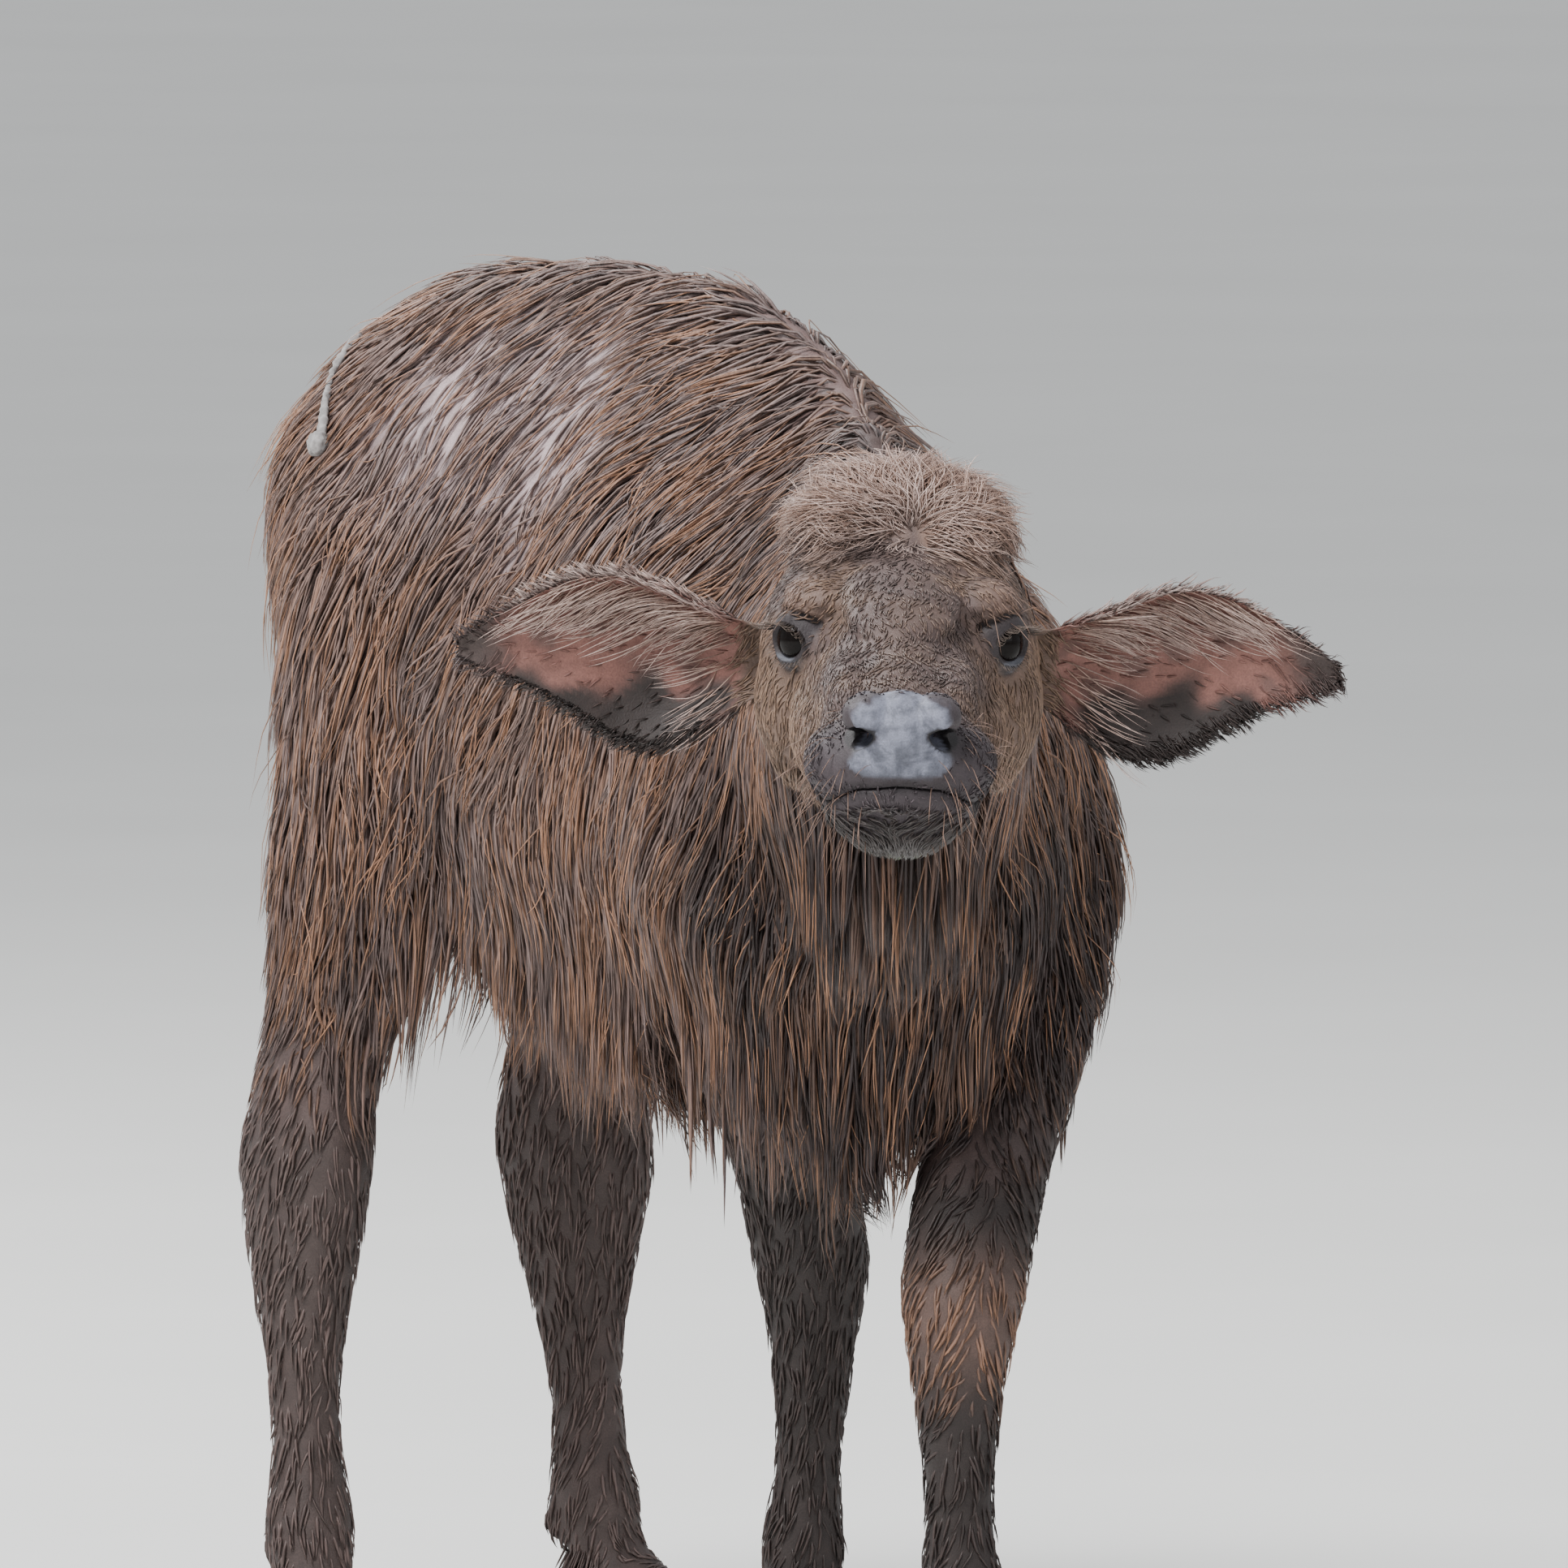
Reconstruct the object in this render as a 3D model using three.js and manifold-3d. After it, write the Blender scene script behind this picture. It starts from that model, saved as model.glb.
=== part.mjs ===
// Water buffalo calf of about three to four months, life size, caught in mid step with its head turned.
// Millimetres, +Z up. The rump points along +Y, the calf walks towards -Y, and its left side is at +X.
// The spine bends to the right in front, so that the head looks 36 degrees to the right of the rump's line.
// Each part of the body is a stack of closed sections strung along a path. The coat of long wet hair is a set
// of flat tapered locks that follow the surface they grow from.
import * as THREE from "three";
import { mergeVertices } from "three/addons/utils/BufferGeometryUtils.js";
import Module from "manifold-3d";

const wasm = await Module();
wasm.setup();

// Driving dimensions
const SEAM = 0.3; // gap between neighbouring nodes
const FLOOR = 0;
const COAT_CORE = 8; // the packed inner half of the coat, over the hide of the trunk
const LOCK_LIFT = 10; // how far a lock's tip stands off that core
const LOCK_THICKNESS = 7;
const EYE_RADIUS = 16.5;
const EAR_THICKNESS = 4.5;
const EAR_DROOP = { 1: 0.035, [-1]: 0 }; // fall of the left and the right ear towards the tip
const CLAW_HEIGHT = 42;
const HEAD_YAW = 36; // degrees that the face is turned to the right of the rump's line
const HEAD_PITCH = 12; // degrees that the muzzle points below the horizontal
const HEAD_ROLL = 1; // degrees that the left side of the face hangs lower
const EYE_MIDPOINT = new THREE.Vector3(-247, -526, 698);
const RADIANS = Math.PI / 180;
const UP = new THREE.Vector3(0, 0, 1);

// Trunk sections from rump to chest: centre x, y, z, half width, height above, depth below, pinch of the back
const TRUNK_ROWS = [
  [0, 394, 732, 16, 22, 26, 0],
  [0, 382, 728, 56, 58, 76, 0.1],
  [0, 342, 708, 88, 122, 142, 0.25],
  [0, 270, 686, 107, 178, 172, 0.38],
  [0, 190, 660, 118, 216, 180, 0.45],
  [0, 100, 640, 128, 240, 192, 0.5],
  [-2, 0, 626, 134, 250, 200, 0.55],
  [-10, -90, 616, 134, 240, 200, 0.64],
  [-28, -170, 604, 126, 222, 190, 0.7],
  [-56, -235, 590, 122, 202, 178, 0.68],
  [-88, -292, 580, 96, 176, 162, 0.5],
  [-112, -330, 574, 60, 110, 116, 0.3],
  [-120, -344, 572, 18, 34, 40, 0],
];

// Neck sections from inside the chest to the nape, in the same columns
const NECK_ROWS = [
  [-38, -190, 640, 60, 110, 90, 0.3],
  [-52, -218, 640, 92, 168, 130, 0.64],
  [-90, -290, 634, 88, 150, 140, 0.6],
  [-128, -352, 642, 78, 130, 122, 0.4],
  [-164, -404, 662, 70, 104, 108, 0.3],
  [-196, -450, 680, 64, 80, 98, 0.2],
  [-206, -464, 684, 30, 36, 44, 0],
];

// Head sections from nape to lips: forward of the eyes, height of the centre, half width, above, below, pinch
const HEAD_ROWS = [
  [-132, -18, 26, 28, 24, 0],
  [-120, -18, 64, 62, 56, 0],
  [-92, -20, 82, 76, 76, 0.04],
  [-50, -24, 87, 74, 80, 0.06],
  [-8, -26, 79, 67, 76, 0.1],
  [32, -26, 69, 62, 70, 0.14],
  [72, -25, 60, 56, 62, 0.16],
  [112, -24, 53, 52, 56, 0.14],
  [150, -23, 51, 45, 53, 0.1],
  [184, -24, 54, 38, 51, 0],
  [208, -25, 51, 31, 45, 0],
  [224, -25, 39, 24, 33, 0],
  [232, -25, 14, 10, 12, 0],
];

// Joints of the posed legs, and the way each foot points, in degrees from straight ahead towards the left
const LEGS = {
  fore_left: {
    joints: [[34, -214, 700], [50, -252, 505], [-63, -340, 282], [-72, -352, 92], [-80, -367, 46]],
    heading: -24,
    girth: 1.04,
    kind: "fore",
  },
  fore_right: {
    joints: [[-104, -150, 700], [-108, -158, 505], [18, -70, 282], [38, -36, 92], [32, -50, 46]],
    heading: -24,
    girth: 0.98,
    kind: "fore",
  },
  hind_left: {
    joints: [[74, 250, 740], [94, 250, 545], [122, 320, 322], [127, 306, 94], [136, 286, 46]],
    heading: 22,
    girth: 1,
    kind: "hind",
  },
  hind_right: {
    joints: [[-74, 248, 740], [-92, 232, 545], [-114, 276, 328], [-122, 264, 94], [-125, 246, 46]],
    heading: -6,
    girth: 1,
    kind: "hind",
  },
};

// Leg outlines: place along the joints, half width, reach to the front, reach to the back
const LEG_PROFILES = {
  fore: [
    [0, 14, 30, 34],
    [0.12, 34, 60, 66],
    [0.5, 48, 76, 80],
    [0.85, 52, 62, 68],
    [1, 50, 54, 62],
    [1.3, 45, 46, 49],
    [1.7, 40, 38, 39],
    [1.92, 38, 39, 37],
    [2.06, 37, 38, 35],
    [2.25, 29, 29, 30],
    [2.6, 22, 21, 25],
    [2.88, 26, 24, 27],
    [3, 28, 26, 29],
    [3.35, 25, 24, 26],
    [3.8, 31, 31, 31],
    [4, 33, 34, 33],
  ],
  hind: [
    [0, 18, 50, 50],
    [0.15, 40, 92, 88],
    [0.5, 48, 104, 98],
    [0.85, 50, 100, 88],
    [1.1, 50, 88, 78],
    [1.3, 47, 72, 68],
    [1.5, 40, 56, 54],
    [1.7, 36, 46, 50],
    [1.9, 36, 46, 56],
    [2, 37, 52, 58],
    [2.12, 35, 52, 54],
    [2.28, 31, 42, 45],
    [2.5, 24, 28, 31],
    [2.7, 22, 23, 25],
    [2.88, 26, 25, 28],
    [3, 29, 27, 30],
    [3.35, 26, 25, 27],
    [3.8, 32, 32, 32],
    [4, 34, 35, 34],
  ],
};

// Tail sections from its head to the end of the dock
const DOCK_ROWS = [
  [0, 336, 776, 14, 12, 12, 0],
  [0, 372, 796, 15, 15, 14, 0],
  [0, 403, 776, 13, 13, 13, 0],
  [-2, 414, 710, 11, 11, 11, 0],
  [-5, 419, 630, 9.5, 9.5, 9.5, 0],
  [-9, 421, 555, 8, 8, 8, 0],
  [-13, 421, 500, 7, 7, 7, 0],
];
const SWITCH_TOP = 540;
const SHANK_DROP = { fore: 26, hind: 44 }; // how far under the knee or hock the shank is parted from the leg
const SWITCH_END = 335;

// Ear outline in the head's frame: distance from the head's middle, height of the centre, half width
const EAR_ROWS = [
  [66, -30, 20],
  [88, -33, 24],
  [104, -36, 32],
  [126, -38, 43],
  [147, -37, 50],
  [170, -32, 50],
  [199, -26, 39],
  [228, -27, 24],
  [250, -31, 13],
  [264, -33, 5],
];

// Small tools

// A repeatable source of numbers between 0 and 1
function randomSource(seed) {
  let state = seed >>> 0;
  return () => {
    state = (Math.imul(state, 1664525) + 1013904223) >>> 0;
    return state / 4294967296;
  };
}

// The row at t, from 0 to 1, on a smooth curve through the rows of a table
function rowAt(rows, t) {
  const last = rows.length - 1;
  const place = Math.min(Math.max(t, 0), 1) * last;
  const i = Math.min(Math.floor(place), last - 1);
  const u = place - i;
  const [a, b, c, d] = [-1, 0, 1, 2].map((k) => rows[Math.min(Math.max(i + k, 0), last)]);
  return b.map((_, k) => {
    const slopeB = (c[k] - a[k]) / 2;
    const slopeC = (d[k] - b[k]) / 2;
    const rise = c[k] - b[k];
    return b[k] + u * (slopeB + u * (3 * rise - 2 * slopeB - slopeC + u * (slopeB + slopeC - 2 * rise)));
  });
}

// A closed surface as a solid, whichever way round its faces were listed
function solidOf(geometry) {
  const bare = new THREE.BufferGeometry().setAttribute("position", geometry.getAttribute("position"));
  bare.setIndex(geometry.index);
  const merged = mergeVertices(bare, 1e-3);
  const triVerts = new Uint32Array(merged.index.array);
  const vertProperties = merged.attributes.position.array;
  const made = new wasm.Manifold(new wasm.Mesh({ numProp: 3, vertProperties, triVerts }));
  if (made.volume() > 0) return made;
  const flipped = triVerts.map((_, i) => triVerts[i % 3 === 0 ? i : i % 3 === 1 ? i + 1 : i - 1]);
  return new wasm.Manifold(new wasm.Mesh({ numProp: 3, vertProperties, triVerts: flipped }));
}

// A tube through rings of points with the same count, closed by a fan at each end
function tubeOf(rings) {
  const count = rings[0].length;
  const points = rings.flat();
  const faces = [];
  rings.slice(1).forEach((_, r) => {
    for (let k = 0; k < count; k++) {
      const next = (k + 1) % count;
      const [a, b] = [r * count + k, r * count + next];
      faces.push(a, b, b + count, a, b + count, a + count);
    }
  });
  [[0, true], [rings.length - 1, false]].forEach(([r, first]) => {
    const middle = points.length;
    points.push(rings[r].reduce((sum, p) => sum.add(p), new THREE.Vector3()).divideScalar(count));
    for (let k = 0; k < count; k++) {
      const [a, b] = [r * count + k, r * count + ((k + 1) % count)];
      faces.push(middle, ...(first ? [b, a] : [a, b]));
    }
  });
  return new THREE.BufferGeometry().setFromPoints(points).setIndex(faces);
}

// The largest closed body of a solid
function largest(solid) {
  return solid.decompose().reduce((best, s) => (s.volume() > best.volume() ? s : best));
}

// Body sections

// Sections of a given outline strung along a path. A row holds x, y, z, half width, up, down and pinch.
class Stack {
  constructor(rows, axesAt, fullness = 1) {
    this.rows = rows;
    this.axesAt = axesAt;
    this.fullness = fullness; // below 1 the lower half of each section is fuller than an ellipse
  }

  centre(t) {
    return new THREE.Vector3(...rowAt(this.rows, t));
  }

  // The point at angle a round the section at t: 0 is the left, a quarter turn is up or forward
  point(t, a, grow = 0) {
    const [x, y, z, width, up, down, pinch] = rowAt(this.rows, t);
    const axes = this.axesAt(t);
    const [c, s] = [Math.cos(a), Math.sin(a)];
    const blunt = (v) => (s < 0 ? Math.sign(v) * Math.abs(v) ** this.fullness : v);
    const across = (Math.max(width, 1) + grow) * blunt(c) * (1 - pinch * Math.max(s, 0) ** 2);
    const along = (Math.max(s > 0 ? up : down, 1) + grow) * blunt(s);
    return new THREE.Vector3(x, y, z).addScaledVector(axes.side, across).addScaledVector(axes.up, along);
  }

  normal(t, a) {
    const step = 0.01;
    const alongPath = this.point(Math.min(t + step, 1), a).sub(this.point(Math.max(t - step, 0), a));
    const round = this.point(t, a + step).sub(this.point(t, a - step));
    const out = alongPath.cross(round).normalize();
    return out.dot(this.point(t, a).sub(this.centre(t))) < 0 ? out.negate() : out;
  }

  // How the surface point moves as t, or with axis 1 as the angle, grows
  slope(t, a, axis) {
    const step = 0.01;
    const [dt, da] = axis ? [0, step] : [step, 0];
    return this.point(t + dt, a + da).sub(this.point(t - dt, a - da)).divideScalar(2 * step);
  }

  solid(rings, sides, grow = 0) {
    const list = Array.from({ length: rings + 1 }, (_, r) =>
      Array.from({ length: sides }, (_, k) => this.point(r / rings, (k * 2 * Math.PI) / sides, grow)),
    );
    return solidOf(tubeOf(list));
  }
}

// Axes of an upright section, which faces along a level path
function uprightAxes(rows) {
  return (t) => {
    const step = 0.03;
    const before = new THREE.Vector3(...rowAt(rows, t - step));
    const ahead = new THREE.Vector3(...rowAt(rows, t + step)).sub(before);
    const side = new THREE.Vector3().crossVectors(ahead.setZ(0).normalize(), UP).negate();
    return { side, up: UP };
  };
}

// Axes of a section that stands square to its path
function squareAxes(rows) {
  return (t) => {
    const step = 0.04;
    const before = new THREE.Vector3(...rowAt(rows, t - step));
    const ahead = new THREE.Vector3(...rowAt(rows, t + step)).sub(before);
    const side = new THREE.Vector3().crossVectors(UP, ahead).normalize();
    return { side, up: new THREE.Vector3().crossVectors(ahead.normalize(), side) };
  };
}

const trunk = new Stack(TRUNK_ROWS, uprightAxes(TRUNK_ROWS), 0.8);
const neck = new Stack(NECK_ROWS, squareAxes(NECK_ROWS));
const dock = new Stack(DOCK_ROWS, (t) => {
  const step = 0.04;
  const before = new THREE.Vector3(...rowAt(DOCK_ROWS, t - step));
  const ahead = new THREE.Vector3(...rowAt(DOCK_ROWS, t + step)).sub(before);
  const side = new THREE.Vector3(1, 0, 0);
  return { side, up: new THREE.Vector3().crossVectors(side, ahead.setX(0).normalize()) };
});

// Head frame: forward along the muzzle, left, and up through the forehead, from the point between the eyes
const yaw = HEAD_YAW * RADIANS;
const pitch = HEAD_PITCH * RADIANS;
const FORWARD = new THREE.Vector3(
  -Math.sin(yaw) * Math.cos(pitch),
  -Math.cos(yaw) * Math.cos(pitch),
  -Math.sin(pitch),
);
const LEFT = new THREE.Vector3(Math.cos(yaw), -Math.sin(yaw), 0);
LEFT.applyAxisAngle(FORWARD, -HEAD_ROLL * RADIANS);
const CROWN = new THREE.Vector3().crossVectors(LEFT, FORWARD).negate();
const headMatrix = new THREE.Matrix4().makeBasis(FORWARD, LEFT, CROWN).setPosition(EYE_MIDPOINT);

function inHead(forward, left, up) {
  return new THREE.Vector3(forward, left, up).applyMatrix4(headMatrix);
}

const head = new Stack(
  HEAD_ROWS.map(([forward, up, ...rest]) => [...inHead(forward, 0, up).toArray(), ...rest]),
  () => ({ side: LEFT, up: CROWN }),
);

// A leg as level sections, from the shoulder or hip down to the top of the claws
function legStack({ joints, heading, girth, kind }) {
  const rows = LEG_PROFILES[kind].map(([place, width, front, back]) => {
    const [x, y, z] = rowAt(joints, place / (joints.length - 1));
    return [x, y, z, width * girth, front * girth, back * girth, 0];
  });
  const turn = heading * RADIANS;
  const side = new THREE.Vector3(Math.cos(turn), Math.sin(turn), 0);
  const up = new THREE.Vector3(Math.sin(turn), -Math.cos(turn), 0);
  return new Stack(rows, () => ({ side, up }));
}

const legs = Object.fromEntries(Object.entries(LEGS).map(([name, leg]) => [name, legStack(leg)]));

// Round masses

// An ellipsoid in the head's frame: its centre and half sizes forward, left and up
function headBall(centre, size, turnUp = 0) {
  const ball = new THREE.SphereGeometry(1, 8, 6).scale(...size);
  ball.rotateY(turnUp * RADIANS);
  ball.translate(...centre);
  return solidOf(ball.applyMatrix4(headMatrix));
}

// Eye, lids and socket

function eyeCentre(side) {
  return new THREE.Vector3(2, side * 57, 0);
}

function eyeGaze(side) {
  return new THREE.Vector3(0.42, side * 0.9, 0.08).normalize();
}

function eyeBall(side, grow = 0) {
  const ball = new THREE.SphereGeometry(EYE_RADIUS + grow, 12, 8);
  ball.translate(...eyeCentre(side));
  return solidOf(ball.applyMatrix4(headMatrix));
}

// The ring of the two lids, wider than it is high, lying on the eyeball
function lids(side) {
  const ring = new THREE.TorusGeometry(EYE_RADIUS - 2.5, 5, 4, 10).scale(1.12, 0.86, 1);
  const gaze = eyeGaze(side);
  const across = new THREE.Vector3().crossVectors(new THREE.Vector3(0, 0, 1), gaze).normalize();
  const over = new THREE.Vector3().crossVectors(gaze, across);
  const place = new THREE.Matrix4().makeBasis(across, over, gaze);
  place.setPosition(eyeCentre(side).addScaledVector(gaze, 8));
  return solidOf(ring.applyMatrix4(place).applyMatrix4(headMatrix));
}

// The slit between the lips, as a band that dips to the corners of the mouth
function mouthSlit() {
  const [halfWidth, gap, dip, steps] = [62, 3.2, 24, 8];
  const edge = Array.from({ length: steps + 1 }, (_, k) => (2 * k) / steps - 1);
  const curve = (u, offset) => new THREE.Vector2(u * halfWidth, -28 - dip * u * u + offset);
  const outline = [...edge.map((u) => curve(u, -gap / 2)), ...edge.reverse().map((u) => curve(u, gap / 2))];
  const band = new THREE.ExtrudeGeometry(new THREE.Shape(outline), { depth: 70, bevelEnabled: false });
  const turned = new THREE.Matrix4().makeBasis(
    new THREE.Vector3(0, 1, 0),
    new THREE.Vector3(0, 0, 1),
    new THREE.Vector3(1, 0, 0),
  );
  turned.setPosition(176, 0, 0);
  return solidOf(band.applyMatrix4(turned).applyMatrix4(headMatrix));
}

function headCore(grow) {
  const masses = [head.solid(14, 14, grow * 0.5)];
  for (const side of [-1, 1]) {
    masses.push(headBall([2, side * 58, 27], [34, 22, 15], 8));
    masses.push(headBall([-31, side * 60, -47], [53, 29, 41], -13));
    masses.push(headBall([184, side * 35, -24], [32, 22, 21]));
    masses.push(headBall([214, side * 25, 4], [15, 13, 13]));
    masses.push(lids(side));
  }
  masses.push(headBall([182, 0, -58], [34, 35, 21], 6));
  masses.push(headBall([206, 0, -4], [24, 31, 26], 10));
  masses.push(headBall([-86, 0, 42], [46, 70, 38], -16));
  let made = wasm.Manifold.union(masses).subtract(mouthSlit());
  for (const side of [-1, 1]) {
    made = made.subtract(headBall([226, side * 22, 2], [16, 9, 7.5], 12));
    made = made.subtract(eyeBall(side, SEAM));
  }
  return made;
}

// Ears

// A leaf that is rolled into a cup at its root and opens towards its tip
function ear(side) {
  const arcSteps = 6;
  const rings = EAR_ROWS.map(([out, centre, half], r) => {
    const t = r / (EAR_ROWS.length - 1);
    const bend = (150 - 95 * t) * RADIANS;
    const radius = half / Math.sin(Math.min(bend / 2, Math.PI / 2));
    const sweep = -60 - 22 * t * t;
    const thickness = EAR_THICKNESS * (1 - 0.35 * t);
    const level = centre - EAR_DROOP[side] * (out - EAR_ROWS[0][0]);
    const middle = sweep + radius * Math.cos(bend / 2);
    const at = (angle, r2) => inHead(middle - r2 * Math.cos(angle), side * out, level + r2 * Math.sin(angle));
    const angles = Array.from({ length: arcSteps + 1 }, (_, k) => bend * (k / arcSteps - 0.5));
    return [
      ...angles.map((a) => at(a, radius + thickness / 2)),
      ...angles.reverse().map((a) => at(a, radius - thickness / 2)),
    ];
  });
  return solidOf(tubeOf(rings));
}

// Feet

// One claw: a wedge with a flat sole, a sloping front wall and a rounded heel
function claw(leg, inner) {
  const { joints, heading } = LEGS[leg];
  const [x, y] = joints.at(-1);
  const turn = heading * RADIANS;
  const side = new THREE.Vector3(Math.cos(turn), Math.sin(turn), 0);
  const ahead = new THREE.Vector3(Math.sin(turn), -Math.cos(turn), 0);
  const centre = new THREE.Vector3(x, y, 0).addScaledVector(side, inner * 17);
  const sides = 10;
  const rings = [0, 0.12, 0.55, 1].map((t) => {
    const [halfLength, halfWidth, shift] = [38 - 9 * t, 15.6 - (t === 0 ? 1.2 : 0.6 * t), 13 - 16 * t];
    return Array.from({ length: sides }, (_, k) => {
      const a = (k * 2 * Math.PI) / sides;
      const reach = Math.cos(a) * halfLength;
      const taper = 1 - 0.22 * Math.max(Math.cos(a), 0);
      return centre
        .clone()
        .addScaledVector(ahead, shift + reach)
        .addScaledVector(side, Math.sin(a) * halfWidth * taper)
        .setZ(FLOOR + CLAW_HEIGHT * t);
    });
  });
  return solidOf(tubeOf(rings));
}

// A pair of small dew claws behind the fetlock
function dewClaws(leg) {
  const { joints, heading } = LEGS[leg];
  const fetlock = new THREE.Vector3(...joints[3]);
  const turn = heading * RADIANS;
  const side = new THREE.Vector3(Math.cos(turn), Math.sin(turn), 0);
  const ahead = new THREE.Vector3(Math.sin(turn), -Math.cos(turn), 0);
  return [-1, 1].map((k) => {
    const nub = new THREE.SphereGeometry(1, 8, 6).scale(7, 8, 12);
    nub.translate(...fetlock.clone().addScaledVector(ahead, -26).addScaledVector(side, k * 13).setZ(76));
    return solidOf(nub);
  });
}

// Locks of hair

const random = randomSource(41);
const vary = (value, share) => value * (1 + share * (2 * random() - 1));

// How a lock rises from under the coat's core to its tip, and how it swells and narrows on the way
const RISE = [-0.8, 0.1, 0.5, 0.85, 1];
const SWELL = [0.62, 1, 0.92, 0.62, 0.06];

// A flat tapered lock along a path, with a low ridge on its outer side
function lock(path, outs, width, thickness = LOCK_THICKNESS) {
  const rings = SWELL.map((share, i) => {
    const [before, after] = [path[Math.max(i - 1, 0)], path[Math.min(i + 1, SWELL.length - 1)]];
    const ahead = after.clone().sub(before).normalize();
    const side = new THREE.Vector3().crossVectors(ahead, outs[i]).normalize();
    const out = new THREE.Vector3().crossVectors(side, ahead);
    const half = (width / 2) * share;
    const ridge = (thickness / 2) * (0.25 + 0.75 * share);
    return [
      path[i].clone().addScaledVector(side, half).addScaledVector(out, -ridge),
      path[i].clone().addScaledVector(out, ridge),
      path[i].clone().addScaledVector(side, -half).addScaledVector(out, -ridge),
    ];
  });
  return solidOf(tubeOf(rings));
}

// A lock that follows the surface of a stack from (t, a), the way that lie() points, and falls free where
// the surface turns under
function lockOn(stack, core, t, a, lie, length, width, lift = LOCK_LIFT) {
  const step = length / (SWELL.length - 1);
  const path = [];
  const outs = [];
  let [u, v] = [t, a];
  for (const rise of RISE) {
    const out = stack.normal(u, v);
    if (path.length && (out.z < -0.45 || u < 0.03 || u > 0.97)) break;
    path.push(stack.point(u, v, core).addScaledVector(out, rise * lift));
    outs.push(out);
    const [along, round] = [stack.slope(u, v, 0), stack.slope(u, v, 1)];
    const way = lie(path.at(-1), out);
    way.addScaledVector(out, -way.dot(out)).normalize().multiplyScalar(step);
    const det = along.dot(along) * round.dot(round) - along.dot(round) ** 2;
    u += (way.dot(along) * round.dot(round) - way.dot(round) * along.dot(round)) / det;
    v += (way.dot(round) * along.dot(along) - way.dot(along) * along.dot(round)) / det;
  }
  while (path.length < RISE.length) {
    const level = outs.at(-1).clone().setZ(0).normalize();
    path.push(path.at(-1).clone().addScaledVector(UP, -0.6 * step).addScaledVector(level, 0.05 * step));
    outs.push(level);
  }
  return lock(path, outs, width);
}

// The lie of the coat on the trunk: away from the parting on the spine, back and down
function trunkLie(turn) {
  return (point, out) => {
    const away = new THREE.Vector3(out.x, out.y, 0).multiplyScalar(0.9);
    const way = new THREE.Vector3(0, 0.34, -1).add(away);
    return way.applyAxisAngle(out, turn);
  };
}

function trunkLocks() {
  const made = [];
  const columns = 7;
  [78, 46, 14, -18].forEach((angle, row) => {
    for (const side of [-1, 1]) {
      for (let k = 0; k < columns; k++) {
        const t = 0.09 + (0.84 * (k + (row % 2 ? 0.75 : 0.25))) / columns;
        const a = vary(angle, 0.05) * RADIANS;
        const lie = trunkLie(0.24 * (2 * random() - 1));
        const length = vary(138 + 8 * row, 0.14);
        made.push(lockOn(trunk, COAT_CORE, t, side > 0 ? a : Math.PI - a, lie, length, vary(74, 0.12)));
      }
    }
  });
  return made;
}

function neckLocks() {
  const made = [];
  const lie = (turn) => (point, out) => new THREE.Vector3(0.25, 0.45, -1).applyAxisAngle(out, turn);
  [70, 24, -22].forEach((angle, row) => {
    for (const side of [-1, 1]) {
      for (let k = 0; k < 3; k++) {
        const t = 0.4 + 0.2 * (k + (row % 2 ? 0.6 : 0.2));
        const a = vary(angle, 0.06) * RADIANS;
        const turn = 0.25 * (2 * random() - 1);
        const around = side > 0 ? a : Math.PI - a;
        made.push(lockOn(neck, COAT_CORE, t, around, lie(turn), vary(120, 0.15), vary(56, 0.15)));
      }
    }
  });
  return made;
}

// Upper legs: down the outside and the hind edge
function legLocks(name) {
  const hind = name.startsWith("hind");
  const outside = name.endsWith("left") ? 0 : Math.PI;
  const turnTo = name.endsWith("left") ? 1 : -1;
  const made = [];
  const rows = hind ? [0.17, 0.26, 0.35] : [0.2, 0.3];
  rows.forEach((t, row) => {
    for (const angle of row % 2 ? [-70, -20, 30] : [-50, 4]) {
      const a = outside + turnTo * angle * RADIANS;
      const lie = (point, out) => new THREE.Vector3(0, 0.1, -1).applyAxisAngle(out, 0.2 * (2 * random() - 1));
      made.push(lockOn(legs[name], 2, t, a, lie, vary(110 - 8 * row, 0.15), vary(46, 0.15), LOCK_LIFT * 0.8));
    }
  });
  return made;
}

// The hanging keel of the brisket and the beard under the throat
function chestLocks() {
  const made = [];
  for (let k = 0; k < 7; k++) {
    const turn = (k / 6 - 0.5) * 150 * RADIANS;
    const out = new THREE.Vector3(0, -1, 0).applyAxisAngle(UP, -28 * RADIANS + turn);
    const root = new THREE.Vector3(-66, -262, 470).addScaledVector(out, k % 2 ? 34 : 44);
    const drop = vary(k === 3 ? 26 : 23, 0.08);
    const path = RISE.map((_, i) => root.clone().addScaledVector(UP, -i * drop).addScaledVector(out, -i * 5));
    made.push(lock(path, RISE.map(() => out), vary(34, 0.15), 9));
  }
  return made;
}

// The fluffy crown: locks that stand out from a whorl on the forehead
function crownLocks() {
  const made = [];
  for (let k = 0; k < 9; k++) {
    const turn = (k * 2 * Math.PI) / 9 + 0.1;
    const [forward, side] = [Math.cos(turn), Math.sin(turn)];
    const length = vary(forward > 0.6 ? 46 : 66, 0.12);
    const path = RISE.map((_, i) => {
      const reach = 22 + ((length - 8) * i) / 4;
      const dip = forward > 0.6 ? 0.2 : 0.12;
      const height = 74 + 4 * Math.min(i, 2) - (dip * reach ** 2) / 30;
      return inHead(-64 + reach * forward * 0.9, reach * side, height);
    });
    made.push(lock(path, RISE.map(() => CROWN.clone()), vary(36, 0.12), 8));
  }
  return made;
}

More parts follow.
